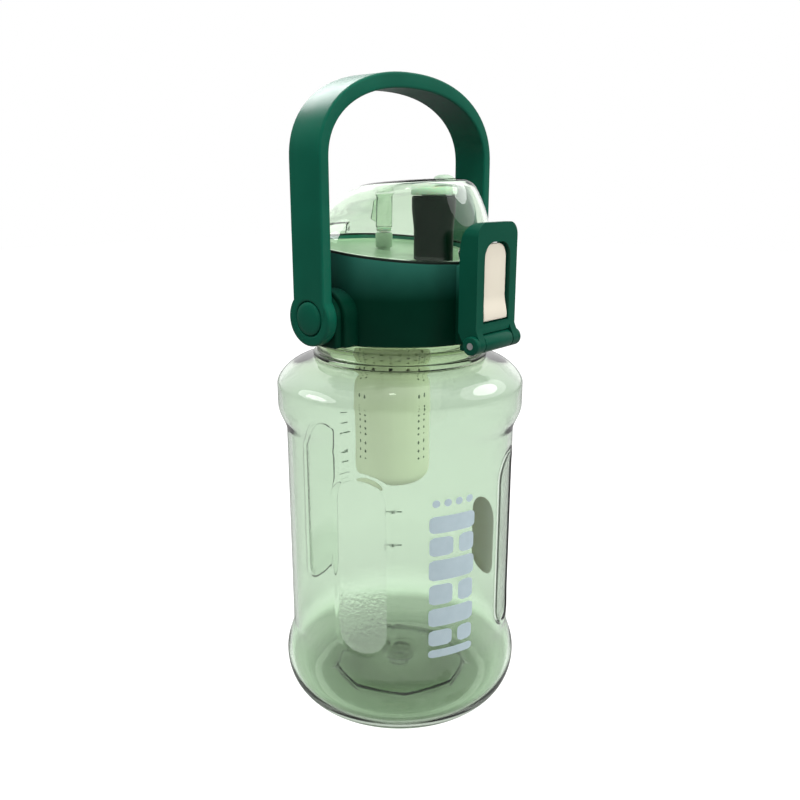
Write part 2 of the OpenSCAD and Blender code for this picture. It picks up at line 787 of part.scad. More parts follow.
// Carry handle
module carry_handle() {
    outer = arch(handle_half_w, arch_z, handle_top);
    inner = arch(handle_in, arch_z, handle_top - grip_t);
    outline = concat([[handle_half_w, pivot_z]], outer, [[-handle_half_w, pivot_z]],
                     [[-handle_in, pivot_z]], reversed(inner), [[handle_in, pivot_z]]);
    color(green) difference() {
        union() {
            slab_y(-handle_w / 2, handle_w / 2) polygon(outline);
            both_sides() translate([handle_in, 0, pivot_z]) rotate([0, 90, 0])
                cylinder(r = eye_r, h = handle_t);
        }
        cross_bore(0, pivot_z, pivot_pin_r + run_gap);
        both_sides() translate([handle_half_w - cap_t - screw_head_t, 0, pivot_z]) rotate([0, 90, 0])
            cylinder(r = cap_r + fit_gap, h = handle_t);
    }
}
module pivot_cap() {
    rim = cap_t - fit_gap;
    color(green) translate([handle_half_w - rim, 0, pivot_z]) rotate([0, 90, 0]) rotate_extrude()
        polygon([[0, 0], [cap_r, 0], [cap_r, rim], [cap_r - 1, rim + cap_proud * 0.6],
                 [cap_r - 3, rim + cap_proud], [0, rim + cap_proud]]);
}
module pivot_screw() {
    head_x = handle_half_w - cap_t - screw_head_t;
    color(steel) translate([0, 0, pivot_z]) rotate([0, 90, 0]) {
        translate([0, 0, screw_in]) cylinder(r = pivot_pin_r, h = head_x - screw_in + screw_head_t / 2);
        translate([0, 0, head_x + fit_gap]) cylinder(r = screw_head_r, h = screw_head_t - 2 * fit_gap);
    }
}
module right_pivot_cap() {
    pivot_cap();
}
module left_pivot_cap() {
    mirror([1, 0, 0]) pivot_cap();
}
module right_pivot_screw() {
    pivot_screw();
}
module left_pivot_screw() {
    mirror([1, 0, 0]) pivot_screw();
}

// Strainer
module strainer_holder() {
    slot_z = flange_z - move_gap;
    slot_top = flange_z + flange_t + move_gap;
    slot_r = flange_r + move_gap;
    color(clear_soft) difference() {
        translate([0, strainer_y, 0]) rotate_extrude() polygon([
            [holder_in, slot_z - holder_lip_t], [holder_r, slot_z - holder_lip_t],
            [holder_r, ceiling_z - fit_gap], [holder_in, ceiling_z - fit_gap],
            [holder_in, slot_top], [slot_r, slot_top], [slot_r, slot_z], [holder_in, slot_z]]);
        translate([0, -spout_y, 0]) cylinder(r = spout_bore_r, h = big);
    }
}
module strainer_basket() {
    w = strainer_wall;
    bend_r = strainer_r - strainer_round;
    bend_z = strainer_z + strainer_round;
    color(beige) translate([0, strainer_y, 0]) difference() {
        rotate_extrude() polygon(concat(
            [[0, strainer_z]], quarter([bend_r, strainer_z], [strainer_r, bend_z]),
            [[strainer_r, flange_z], [flange_r, flange_z], [flange_r, flange_z + flange_t],
             [strainer_r - w, flange_z + flange_t]],
            reversed(quarter([bend_r, strainer_z + w], [strainer_r - w, bend_z])),
            [[0, strainer_z + w]]));
        for (i = [0:strainer_rows - 1], k = [0:strainer_holes - 1])
            translate([0, 0, flange_z - strainer_plain - strainer_row_gap * i])
                rotate([90, 0, (k + (i % 2) / 2) * 360 / strainer_holes])
                    translate([0, 0, strainer_r - 2 * w])
                        cylinder(r = strainer_hole_r, h = 3 * w, $fn = 16);
    }
}

bottle_body();
bottle_shoulder();
bottle_neck();
bottle_finish();
rim_seal();
lid_shell();
lid_insert();
drinking_spout();
vent_stub();
cover_seal();
flip_cover();
spout_stopper();
vent_stopper();
cover_hinge_pin();
cover_spring();
release_button();
button_spring();
lock_frame();
lock_hinge_pin();
carry_handle();
left_pivot_cap();
right_pivot_cap();
left_pivot_screw();
right_pivot_screw();
strainer_holder();
strainer_basket();
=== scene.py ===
import json
import math

import bpy
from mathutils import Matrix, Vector


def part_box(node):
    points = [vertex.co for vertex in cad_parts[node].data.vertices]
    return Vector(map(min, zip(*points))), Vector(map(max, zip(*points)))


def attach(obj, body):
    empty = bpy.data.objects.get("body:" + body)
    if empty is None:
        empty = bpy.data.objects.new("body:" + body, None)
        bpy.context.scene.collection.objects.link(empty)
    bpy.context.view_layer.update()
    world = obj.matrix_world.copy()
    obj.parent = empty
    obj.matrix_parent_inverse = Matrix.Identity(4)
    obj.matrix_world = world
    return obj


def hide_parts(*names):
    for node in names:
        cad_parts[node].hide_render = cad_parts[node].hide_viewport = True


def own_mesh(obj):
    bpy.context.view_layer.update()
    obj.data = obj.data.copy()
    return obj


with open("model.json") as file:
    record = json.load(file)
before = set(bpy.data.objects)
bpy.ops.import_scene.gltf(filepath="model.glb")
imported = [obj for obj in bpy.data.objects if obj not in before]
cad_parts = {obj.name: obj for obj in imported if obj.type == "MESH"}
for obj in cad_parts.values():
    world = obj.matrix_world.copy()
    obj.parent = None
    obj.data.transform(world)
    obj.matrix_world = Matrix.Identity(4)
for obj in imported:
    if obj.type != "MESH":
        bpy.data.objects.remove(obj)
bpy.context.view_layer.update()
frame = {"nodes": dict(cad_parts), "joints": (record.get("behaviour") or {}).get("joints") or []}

nodes = frame["nodes"]

# Sizes are in millimetres, as in the part's source, and become metres where a mesh is made
MM = 0.001
AXES = {"X": (1, 0, 0), "Y": (0, 1, 0), "Z": (0, 0, 1)}
joints = {joint["name"]: joint for joint in frame["joints"]}


def joint_place(name):
    return [c / MM for c in joints[name]["pos_m"]]


def node_box(name):
    low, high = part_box(name)
    return low / MM, high / MM


# Bottle
BULGE_R = node_box("bottle_body")[1].x
WALL = 2.0
WAIST_R = BULGE_R - 3.8
FOOT_R = BULGE_R - 13.3
LOWER_RING_Z = 18.5
WAIST_Z = 36.0
WAIST_TOP = 138.0
BAND_Z = 151.0
BAND_TOP = 161.0
RING_Z = 172.5
NECK_Z = 176.0
BEAD_Z = 181.0
FINISH_Z = 184.0
RIM_Z = node_box("bottle_finish")[1].z
FINISH_R = 37.1
MOUTH_R = 34.9
NECK_R = 39.6
NECK_RING_R = 41.4
BEAD_R = 42.0
PUNT_EDGE_R = 33.0
PUNT_SIDES = 8
PUNT_REACH = 7.0
PUNT_TOP = 9.0
FLOOR_T = 2.8
BOTTLE_STEPS = 224
FLOOR_MIDDLE = (0.48, 0.51, 0.44)
FLOOR_RING = (1.1, 1.1, 1.1)
FLOOR_EDGE = (0.4, 0.5, 0.38)
FLOOR_CLEAR_Z = 16.0
FLOOR_DENSE_Z = 11.5

# Where the floor's colours change, as shares of the bulge's radius
MIDDLE_SHARE = 0.42
RING_SHARE = 0.6
EDGE_START = 0.66
EDGE_END = 0.93

# Grip panels
PANEL_TURNS = (-173.0, -68.5, 22.5)
PANEL_MID = 85.0
PANEL_W = 25.0
PANEL_H = 86.0
PANEL_ROUND = 11.0
PANEL_DEPTH = 1.0
PANEL_RIM = 0.15
PANEL_EDGE = 0.7
SOFT_PANEL_EDGE = 1.9
PANEL_BAND = 2.5
RIGHT_SIDE_X = 10.0
INK_T = 0.05

# Lid
COLLAR_R = node_box("cover_seal")[1].x + 0.2
COLLAR_WALL = 2.2
COLLAR_IN = COLLAR_R - COLLAR_WALL
COLLAR_Z = FINISH_Z + 0.5
SEAM_Z = COLLAR_Z + 40.0
SEAM_TILT = 6.1
RIM_DROP = 1.2
DECK_DROP = 3.0
DECK_T = 2.2
PIVOT_Z = joint_place("handle_swing")[2]
BOSS_R = 11.6
BOSS_STEP = 2.0
HANDLE_OUT = node_box("carry_handle")[1].x
HANDLE_T = 5.7
HANDLE_IN = HANDLE_OUT - HANDLE_T
BOSS_END = HANDLE_IN - 0.5
BOSS_ROOT = 36.0

# Cover
ROOF_Z = SEAM_Z + 28.4
ROOF_SHIFT = 8.4
ROOF_TILT = 4.0
COVER_WALL = 2.0
TAB_Y_OUT = 25.0
HINGE_Y, HINGE_Z = joint_place("cover_hinge")[1:]
HINGE_R = 5.0
ARM_HALF_W = 8.8
ARM_T = 4.4
EAR_T = 4.0
EAR_ROOT = 40.5
ARM_ROOT = 41.6
SPRING_HALF_W = 4.0

# Spout and vent
SPOUT_Y = -19.5
SPOUT_R = 9.3
SPOUT_BORE_R = 7.2
SPOUT_FOOT, SPOUT_TOP = (corner.z for corner in node_box("drinking_spout"))
VENT_Y = 10.0
VENT_R = 4.0
VENT_FOOT, VENT_TOP = (corner.z for corner in node_box("vent_stub"))

# Lock and button
LOCK_Y, LOCK_Z = joint_place("lock_hinge")[1:]
KNUCKLE_R = 4.0
KNUCKLE_SPLIT = 10.4
KNUCKLE_END = node_box("lock_frame")[1].x
LOCK_HALF_W = 15.0
LOCK_TOP = node_box("lock_frame")[1].z
LOCK_FRONT = -54.3
LOCK_REAR = LOCK_FRONT + 9.2
LOCK_PLATE = 3.2
LOCK_WALL = 2.5
LOCK_ROUND = 6.0
BUTTON_HALF_W = 9.0
BUTTON_LOW = node_box("release_button")[0].z
BUTTON_TOP = node_box("release_button")[1].z
BUTTON_ROUND = 6.0
BUTTON_FRONT = LOCK_FRONT + 1.6
BUTTON_T = 3.0
HOUSING_HALF_W = 11.9
HOUSING_FRONT = -46.7
HOUSING_TOP = 218.6
HOUSING_REAR = -38.0
KNUCKLE_ROOT = -42.7

# Strainer
STRAINER_Y = joint_place("strainer_twist")[1]
STRAINER_R = 18.5
HOLE_STEP = 12.5
HOLE_ROW = 3.6
HOLE_R = 0.65
HOLE_LOW = 122
HOLE_FRONT = -50.0
HOLE_BAND = 40.0
HOLE_BAND_HALF = 17.0

# Handle
HANDLE_TOP = node_box("carry_handle")[1].z
HANDLE_W = 18.2
GRIP_T = 6.6
ARCH_Z = HANDLE_TOP - 37.0
ARCH_POWER = 2.2
EYE_R = 11.8
CAP_R = 7.1


# Modelling by hand

def deselect():
    bpy.ops.object.select_all(action="DESELECT")


def pick(obj):
    deselect()
    obj.select_set(True)
    bpy.context.view_layer.objects.active = obj


def edit(obj):
    pick(obj)
    bpy.ops.object.mode_set(mode="EDIT")
    bpy.ops.mesh.select_all(action="SELECT")


def leave():
    bpy.ops.object.mode_set(mode="OBJECT")


def pick_faces(obj, wanted):
    """Goes into edit mode with only the wanted faces selected."""
    edit(obj)
    bpy.ops.mesh.select_all(action="DESELECT")
    leave()
    for face in obj.data.polygons:
        face.select = wanted(face)
    bpy.ops.object.mode_set(mode="EDIT")
    bpy.ops.mesh.select_mode(type="FACE")


def close_mesh():
    """Merges the seams of the mesh in edit mode and turns its faces outwards."""
    bpy.ops.mesh.select_all(action="SELECT")
    bpy.ops.mesh.remove_doubles(threshold=0.005 * MM)
    bpy.ops.mesh.normals_make_consistent(inside=False)


def placed(point, centre, axis):
    """A profile point (radius, height) on the side of a centre, in metres."""
    radius, height = point
    spread = {"X": (height, 0, radius), "Y": (radius, height, 0), "Z": (radius, 0, height)}[axis]
    return (Vector(centre) + Vector(spread)) * MM


def call(obj, name):
    obj.name = name
    obj.data.name = name


def stand(obj, place, turn, scale=(1, 1, 1)):
    """Puts a piece at its place in millimetres, turned by degrees, and keeps that in its mesh."""
    pick(obj)
    obj.location = Vector(place) * MM
    obj.rotation_euler = [math.radians(angle) for angle in turn]
    obj.scale = scale
    bpy.ops.object.transform_apply(location=True, rotation=True, scale=True)


def draw_line(name, points):
    """One vertex drawn out from point to point; stays in edit mode."""
    deselect()
    bpy.ops.mesh.primitive_plane_add(size=MM, location=(0, 0, 0))
    obj = bpy.context.object
    call(obj, name)
    edit(obj)
    bpy.ops.mesh.merge(type="CENTER")
    bpy.ops.transform.translate(value=points[0])
    for here, there in zip(points, points[1:]):
        bpy.ops.mesh.extrude_vertices_move(TRANSFORM_OT_translate={"value": there - here})
    return obj


def lathe(name, profile, steps=96, centre=(0, 0, 0), axis="Z"):
    """A profile of (radius, height) points spun round an axis through the centre."""
    obj = draw_line(name, [placed(p, centre, axis) for p in profile])
    bpy.ops.mesh.select_all(action="SELECT")
    bpy.ops.mesh.spin(steps=steps, angle=2 * math.pi, center=Vector(centre) * MM, axis=AXES[axis])
    close_mesh()
    leave()
    return obj


def slab(name, outline, axis, low, high, rounding=0, segments=3):
    """A flat outline, filled and drawn out along X, Y or Z from low to high; its edges may be rounded."""
    def corner(p):
        return {"X": (low, p[0], p[1]), "Y": (p[0], low, p[1]), "Z": (p[0], p[1], low)}[axis]
    obj = draw_line(name, [Vector(corner(p)) * MM for p in outline])
    bpy.ops.mesh.select_all(action="SELECT")
    bpy.ops.mesh.edge_face_add()
    reach = Vector(AXES[axis]) * (high - low) * MM
    bpy.ops.mesh.extrude_region_move(TRANSFORM_OT_translate={"value": reach})
    close_mesh()
    leave()
    if rounding:
        round_edges(obj, rounding, segments)
    return obj


def loft(name, rings, sides=96):
    """Circles at their (radius, y, z, tilt), bridged one after the other."""
    deselect()
    bpy.ops.mesh.primitive_circle_add(vertices=sides, radius=MM, location=(0, 0, 0))
    obj = bpy.context.object
    call(obj, name)
    edit(obj)
    bpy.ops.mesh.delete(type="VERT")
    for radius, y, z, tilt in rings:
        bpy.ops.mesh.primitive_circle_add(vertices=sides, radius=radius * MM,
                                          location=Vector((0, y, z)) * MM,
                                          rotation=(math.radians(tilt), 0, 0))
    for k in range(len(rings) - 1):
        leave()
        for edge in obj.data.edges:
            a, b = (v // sides for v in edge.vertices)
            edge.select = a == b and a in (k, k + 1)
        for vertex in obj.data.vertices:
            vertex.select = vertex.index // sides in (k, k + 1)
        for face in obj.data.polygons:
            face.select = False
        bpy.ops.object.mode_set(mode="EDIT")
        bpy.ops.mesh.bridge_edge_loops()
    leave()
    return obj


def fill_ring(obj, ring, sides=96):
    """A flat face over one ring of a loft."""
    pick(obj)
    for item in list(obj.data.polygons) + list(obj.data.edges):
        item.select = False
    for vertex in obj.data.vertices:
        vertex.select = vertex.index // sides == ring
    bpy.ops.object.mode_set(mode="EDIT")
    bpy.ops.mesh.select_mode(type="VERT")
    bpy.ops.mesh.edge_face_add()
    close_mesh()
    leave()


def add_modifier(obj, kind, **settings):
    pick(obj)
    bpy.ops.object.modifier_add(type=kind)
    modifier = obj.modifiers[-1]
    for key, value in settings.items():
        setattr(modifier, key, value)
    bpy.ops.object.modifier_apply(modifier=modifier.name)


def round_edges(obj, width, segments=3, angle=30):
    """Rounds every edge that is sharper than the angle."""
    add_modifier(obj, "BEVEL", width=width * MM, segments=segments, limit_method="ANGLE",
                 angle_limit=math.radians(angle), use_clamp_overlap=True, harden_normals=False)


def shade(obj, angle=35):
    pick(obj)
    bpy.ops.object.shade_smooth_by_angle(angle=math.radians(angle))


def cut(obj, tool, operation="DIFFERENCE"):
    """Takes a tool piece out of another, joins the two or keeps what both share."""
    add_modifier(obj, "BOOLEAN", object=tool, operation=operation, solver="EXACT")
    bpy.data.objects.remove(tool)


def join(name, pieces):
    deselect()
    for piece in pieces:
        piece.select_set(True)
    bpy.context.view_layer.objects.active = pieces[0]
    bpy.ops.object.join()
    obj = bpy.context.object
    call(obj, name)
    return obj


def mirrored(obj, name):
    """A copy of a piece on the other side of the YZ plane."""
    pick(obj)
    bpy.ops.object.duplicate()
    copy = bpy.context.object
    call(copy, name)
    edit(copy)
    bpy.ops.transform.resize(value=(-1, 1, 1), center_override=(0, 0, 0))
    bpy.ops.mesh.normals_make_consistent(inside=False)
    leave()
    return copy


# Curves

def ticks(count):
    """Even shares from 0 to 1."""
    return [i / count for i in range(count + 1)]


def between(a, b, u, v):
    """The point at shares u and v of the way from a to b."""
    return a[0] + (b[0] - a[0]) * u, a[1] + (b[1] - a[1]) * v


def slope(a, b, count):
    """Points from a to b that leave and arrive upright."""
    return [between(a, b, (1 - math.cos(math.pi * t)) / 2, t) for t in ticks(count)]


def quarter(a, b, count):
    """Points of a quarter ellipse that leaves a level and arrives at b upright."""
    return [between(a, b, math.sin(math.pi / 2 * t), 1 - math.cos(math.pi / 2 * t)) for t in ticks(count)]


def bend(a, b, c, d, count):
    """Points of a curve from a to d that is drawn towards b and c."""
    points = []
    for t in ticks(count):
        s = 1 - t
        points.append(tuple(s ** 3 * a[k] + 3 * s * s * t * b[k] + 3 * s * t * t * c[k] + t ** 3 * d[k]
                            for k in (0, 1)))
    return points


def arc(centre, radius, start, end, count):
    turns = [math.radians(start + (end - start) * t) for t in ticks(count)]
    return [(centre[0] + radius * math.cos(t), centre[1] + radius * math.sin(t)) for t in turns]


def straight(a, b, count):
    return [between(a, b, t, t) for t in ticks(count)]


def softened(rows, rounds=2):
    """A row of values with its corners cut, which rounds a loft."""
    for _ in range(rounds):
        cut_rows = [rows[0]]
        for a, b in zip(rows, rows[1:]):
            cut_rows.append(tuple(0.75 * p + 0.25 * q for p, q in zip(a, b)))
            cut_rows.append(tuple(0.25 * p + 0.75 * q for p, q in zip(a, b)))
        rows = cut_rows + [rows[-1]]
    return rows


# Materials

CLOUD_SCALE = 40
GRAIN_SCALE = 900
PLASTIC_IOR = 1.5
# The bottle's colour at heights in millimetres: dark foot, clear waist, dense neck
BODY_LEVELS = [(0, (0.135, 0.19, 0.118)), (9, (0.18, 0.25, 0.16)), (13, (0.7, 0.86, 0.68)),
               (22, (0.79, 0.91, 0.78)), (36, (0.66, 0.75, 0.65)), (60, (0.655, 0.745, 0.645)),
               (168, (0.665, 0.755, 0.655)), (176, (0.47, 0.58, 0.39)), (206, (0.42, 0.53, 0.34))]
BODY_SHADE = (0.7, 0.79, 0.69)
# The collar's colour is multiplied by these shares at heights in millimetres: a painted sheen that lightens
# its top edge
COLLAR_SHEEN_LEVELS = [(184, (1, 1, 1)), (204, (1, 1, 1)), (222, (24, 5, 7)), (228, (24, 5, 7))]
# The frost of the grip panels, as shares at heights in millimetres
FROST_LEVELS = [(0, 0.2), (38, 0.3), (44, 1), (65, 1), (75, 0.3), (206, 0.2)]


def new_material(name):
    material = bpy.data.materials.new(name)
    material.use_nodes = True
    tree = material.node_tree
    return material, tree, tree.nodes["Principled BSDF"]


def add_node(tree, kind, **settings):
    node = tree.nodes.new(kind)
    for key, value in settings.items():
        setattr(node, key, value)
    return node


def feed(socket, value):
    """Gives an input a value or another node's output."""
    if isinstance(value, bpy.types.NodeSocket):
        socket.id_data.links.new(value, socket)
    else:
        socket.default_value = value


def put(node, **values):
    """Feeds a node's inputs, which are written with _ for a space."""
    for key, value in values.items():
        feed(node.inputs[key.replace("_", " ")], value)


def noise(tree, scale, detail=3.0, stretch=(1, 1, 1)):
    """Noise on the object's own coordinates."""
    place = add_node(tree, "ShaderNodeTexCoord")
    mapping = add_node(tree, "ShaderNodeMapping")
    put(mapping, Vector=place.outputs["Object"], Scale=stretch)
    texture = add_node(tree, "ShaderNodeTexNoise")
    put(texture, Vector=mapping.outputs["Vector"], Scale=scale, Detail=detail)
    return texture.outputs["Fac"]


def object_axes(tree):
    """X, Y and Z of the object's own coordinates."""
    place = add_node(tree, "ShaderNodeTexCoord")
    split = add_node(tree, "ShaderNodeSeparateXYZ")
    put(split, Vector=place.outputs["Object"])
    return [split.outputs[axis] for axis in "XYZ"]


def ramp(tree, factor, stops):
    """A colour that follows a factor through (place, colour) stops."""
    node = add_node(tree, "ShaderNodeValToRGB")
    elements = node.color_ramp.elements
    while len(elements) < len(stops):
        elements.new(0.5)
    for element, (place, colour) in zip(elements, stops):
        element.position = place
        element.color = (*colour, 1)
    put(node, Fac=factor)
    return node.outputs["Color"]


def follow(tree, value, low, high, first=0.0, last=1.0):
    """A number that goes from first to last while the value goes from low to high."""
    node = add_node(tree, "ShaderNodeMapRange")
    put(node, Value=value, From_Min=low, From_Max=high, To_Min=first, To_Max=last)
    return node.outputs["Result"]


def mix_colours(tree, share, first, second, blend="MIX"):
    node = add_node(tree, "ShaderNodeMixRGB", blend_type=blend)
    put(node, Fac=share, Color1=first, Color2=second)
    return node.outputs["Color"]


def bump(tree, shader, height, strength, distance):
    node = add_node(tree, "ShaderNodeBump")
    put(node, Strength=strength, Distance=distance * MM, Height=height)
    put(shader, Normal=node.outputs["Normal"])


def maths(tree, operation, first, second=0.0):
    """One operation on two outputs or numbers."""
    node = add_node(tree, "ShaderNodeMath", operation=operation)
    feed(node.inputs[0], first)
    feed(node.inputs[1], second)
    return node.outputs["Value"]


def times(tree, first, second):
    return maths(tree, "MULTIPLY", first, second)


def minus(tree, first, second):
    return maths(tree, "SUBTRACT", first, second)


def moulded_plastic(name, dark, light, roughness, gloss, levels=None):
    """Opaque plastic with a fine moulded grain and faint uneven colour, which levels may lighten with height
    as a painted sheen.
    """
    material, tree, shader = new_material(name)
    colour = ramp(tree, noise(tree, CLOUD_SCALE), [(0.35, dark), (0.7, light)])
    if levels:
        colour = mix_colours(tree, 1.0, colour, height_colour(tree, levels), "MULTIPLY")
    put(shader, Specular_IOR_Level=gloss, Base_Color=colour,
        Roughness=follow(tree, noise(tree, 160), 0.0, 1.0, roughness - 0.05, roughness + 0.06))
    bump(tree, shader, noise(tree, GRAIN_SCALE, 2), 0.12, 0.05)
    return material


def let_lamps_through(tree, shader, tint):
    """Lamps shine through a clear wall, so what is inside it is lit."""
    path = add_node(tree, "ShaderNodeLightPath")
    through = add_node(tree, "ShaderNodeBsdfTransparent")
    put(through, Color=(*tint, 1))
    mix = add_node(tree, "ShaderNodeMixShader")
    put(mix, Fac=path.outputs["Is Shadow Ray"])
    feed(mix.inputs[1], shader.outputs["BSDF"])
    feed(mix.inputs[2], through.outputs["BSDF"])
    put(tree.nodes["Material Output"], Surface=mix.outputs["Shader"])


def height_colour(tree, levels):
    """Colour by height above the foot, from (millimetres, colour) pairs."""
    low, high = levels[0][0], levels[-1][0]
    rise = follow(tree, object_axes(tree)[2], low * MM, high * MM)
    return ramp(tree, rise, [((z - low) / (high - low), colour) for z, colour in levels])


def denser_floor(tree, colour):
    """The floor's plastic is densest in its middle and thins out towards the wall."""
    x, y, z = object_axes(tree)
    square = maths(tree, "ADD", times(tree, x, x), times(tree, y, y))
    out = maths(tree, "DIVIDE", maths(tree, "SQRT", square), BULGE_R * MM)
    shares = ramp(tree, out, [(0.0, FLOOR_MIDDLE), (MIDDLE_SHARE, FLOOR_MIDDLE),
                              (RING_SHARE, FLOOR_RING), (1.0, FLOOR_RING)])
    low = follow(tree, z, FLOOR_CLEAR_Z * MM, FLOOR_DENSE_Z * MM)
    dense = mix_colours(tree, low, colour, shares, "MULTIPLY")
    outer = times(tree, follow(tree, out, EDGE_START, EDGE_END), low)
    return mix_colours(tree, outer, dense, (*FLOOR_EDGE, 1))


def clear_body(name, roughness, haze, grain_scale, grain_strength, grain_levels, milky=0.0, side=0.0):
    """Clear green plastic, denser towards the foot; its grain follows (millimetres, share) pairs."""
    material, tree, shader = new_material(name)
    share = height_colour(tree, [(z, (share,) * 3) for z, share in grain_levels])
    on_right = maths(tree, "GREATER_THAN", object_axes(tree)[0], RIGHT_SIDE_X * MM)
    share = maths(tree, "MAXIMUM", share, times(tree, on_right, side))
    put(shader, IOR=PLASTIC_IOR, Specular_IOR_Level=0.32,
        Base_Color=denser_floor(tree, height_colour(tree, BODY_LEVELS)),
        Transmission_Weight=minus(tree, 1.0, times(tree, share, milky)),
        Roughness=maths(tree, "ADD", roughness, times(tree, share, haze)))
    grain = minus(tree, noise(tree, grain_scale, 3), 0.5)
    bump(tree, shader, times(tree, grain, share), grain_strength, 0.3)
    let_lamps_through(tree, shader, BODY_SHADE)
    return material


def clear_plastic(name, tint, roughness):
    """Clear plastic of one tint with slight moulding waves."""
    material, tree, shader = new_material(name)
    deep = tuple(c * 0.95 for c in tint)
    put(shader, IOR=PLASTIC_IOR, Transmission_Weight=1.0, Roughness=roughness,
        Base_Color=ramp(tree, noise(tree, 30), [(0.3, deep), (0.7, tint)]))
    bump(tree, shader, noise(tree, 60, 2), 0.02, 0.3)
    let_lamps_through(tree, shader, tint)
    return material


def off_centre(tree, value, size):
    """Distance from the middle of each of a row of cells of this size."""
    return times(tree, minus(tree, maths(tree, "FRACT", value), 0.5), size)


def perforated_plastic(name, dark, light, hole_shade):
    """Plastic with bands of small holes in columns, painted as dark dots of shade, on a tube that stands on
    the strainer's axis.
    """
    material, tree, shader = new_material(name)
    x, y, z = object_axes(tree)
    front = times(tree, minus(tree, y, STRAINER_Y * MM), -1.0)
    turn = maths(tree, "DEGREES", maths(tree, "ARCTAN2", x, front))
    across = off_centre(tree, maths(tree, "DIVIDE", turn, HOLE_STEP), math.radians(HOLE_STEP) * STRAINER_R)
    along = off_centre(tree, maths(tree, "DIVIDE", z, HOLE_ROW * MM), HOLE_ROW)
    square = maths(tree, "ADD", times(tree, across, across), times(tree, along, along))
    dot = maths(tree, "LESS_THAN", maths(tree, "SQRT", square), HOLE_R)
    wrap = add_node(tree, "ShaderNodeMath", operation="WRAP")
    for socket, value in zip(wrap.inputs, (minus(tree, turn, HOLE_FRONT), 180.0, -180.0)):
        feed(socket, value)
    side = maths(tree, "ABSOLUTE", wrap.outputs["Value"])
    fold = maths(tree, "ABSOLUTE", minus(tree, side, 90.0))
    away = maths(tree, "ABSOLUTE", minus(tree, fold, HOLE_BAND))
    band = maths(tree, "LESS_THAN", away, HOLE_BAND_HALF)
    above = maths(tree, "GREATER_THAN", z, HOLE_LOW * MM)
    mask = times(tree, times(tree, dot, band), above)
    plain = ramp(tree, noise(tree, CLOUD_SCALE), [(0.35, dark), (0.7, light)])
    put(shader, Base_Color=mix_colours(tree, mask, plain, (*hole_shade, 1)), Roughness=0.5,
        Specular_IOR_Level=0.3)
    bump(tree, shader, noise(tree, GRAIN_SCALE, 2), 0.12, 0.05)
    return material


def soft_silicone(name):
    """Milky silicone that lets some light into its body."""
    material, tree, shader = new_material(name)
    put(shader, Roughness=0.4, Subsurface_Weight=0.4, Subsurface_Scale=4 * MM, Transmission_Weight=0.35,
        Base_Color=ramp(tree, noise(tree, 60), [(0.3, (0.5, 0.62, 0.54)), (0.7, (0.57, 0.69, 0.61))]))
    bump(tree, shader, noise(tree, 500, 2), 0.05, 0.05)
    return material


def brushed_steel(name):
    """Bare steel with fine streaks."""
    material, tree, shader = new_material(name)
    streaks = noise(tree, 300, 4, (0.05, 1, 1))
    put(shader, Metallic=1.0, Roughness=follow(tree, streaks, 0.0, 1.0, 0.22, 0.4),
        Base_Color=ramp(tree, streaks, [(0.3, (0.52, 0.53, 0.54)), (0.7, (0.74, 0.75, 0.76))]))
    bump(tree, shader, streaks, 0.1, 0.03)
    return material


def printed_ink(name, thin, thick):
    """Screen-printed ink, slightly uneven where the wall shows through."""
    material, tree, shader = new_material(name)
    put(shader, Roughness=0.55,
        Base_Color=ramp(tree, noise(tree, 220, 4), [(0.3, thin), (0.65, thick)]))
    bump(tree, shader, noise(tree, GRAIN_SCALE, 2), 0.1, 0.02)
    return material


SATIN_GREEN = moulded_plastic("satin_green", (0.0012, 0.054, 0.032), (0.0016, 0.066, 0.039), 0.38, 0.15)
# Painted shade: a darker copy of the satin green, used for the lid's insert
SHADED_GREEN = moulded_plastic("shaded_green", (0.0008, 0.026, 0.014), (0.0012, 0.033, 0.018), 0.3, 0.12)
# Painted shade and painted sheen: a darker copy of the satin green for the lid's shell, lightened towards its
# top edge
COLLAR_SHADE_AND_SHEEN = moulded_plastic("collar_shade_and_sheen", (0.0006, 0.018, 0.0095), (0.0009, 0.0225, 0.012), 0.3, 0.06,
                               COLLAR_SHEEN_LEVELS)
SPOUT_GREEN = moulded_plastic("spout_green", (0.001, 0.006, 0.003), (0.0015, 0.008, 0.0045), 0.32, 0.03)
# Painted shade: a darker copy of the satin green for the lock frame and the lid's knuckle
LOCK_SHADED_GREEN = moulded_plastic("lock_shaded_green", (0.001, 0.042, 0.0245), (0.0014, 0.05, 0.0295), 0.36, 0.14)
CREAM = moulded_plastic("cream", (0.51, 0.47, 0.39), (0.545, 0.505, 0.42), 0.42, 0.3)
# Painted shade: near-black dots where the strainer's holes would show their shaded insides
STRAINER_BEIGE = perforated_plastic("strainer_beige", (0.8, 0.76, 0.66), (0.85, 0.81, 0.71),
                                    (0.1, 0.11, 0.09))
DARK_RUBBER = moulded_plastic("dark_rubber", (0.004, 0.008, 0.006), (0.008, 0.014, 0.011), 0.6, 0.3)
PALE_DECK = moulded_plastic("pale_deck", (0.24, 0.32, 0.24), (0.29, 0.37, 0.29), 0.3, 0.4)
CLEAR_BODY = clear_body("clear_body", 0.02, 0.01, 25, 0.09, [(0, 1), (206, 1)])
FROSTED_GRIP = clear_body("frosted_grip", 0.06, 0.08, 650, 1.0, FROST_LEVELS, 0.25, 0.8)
CLEAR_COVER = clear_plastic("clear_cover", (0.86, 0.955, 0.845), 0.02)
CLEAR_POST = clear_plastic("clear_post", (0.7, 0.83, 0.68), 0.12)
SILICONE = soft_silicone("soft_silicone")
STEEL = brushed_steel("brushed_steel")
PALE_INK = printed_ink("pale_ink", (0.345, 0.43, 0.465), (0.375, 0.46, 0.495))
BROWN_INK = printed_ink("brown_ink", (0.385, 0.27, 0.155), (0.44, 0.315, 0.19))
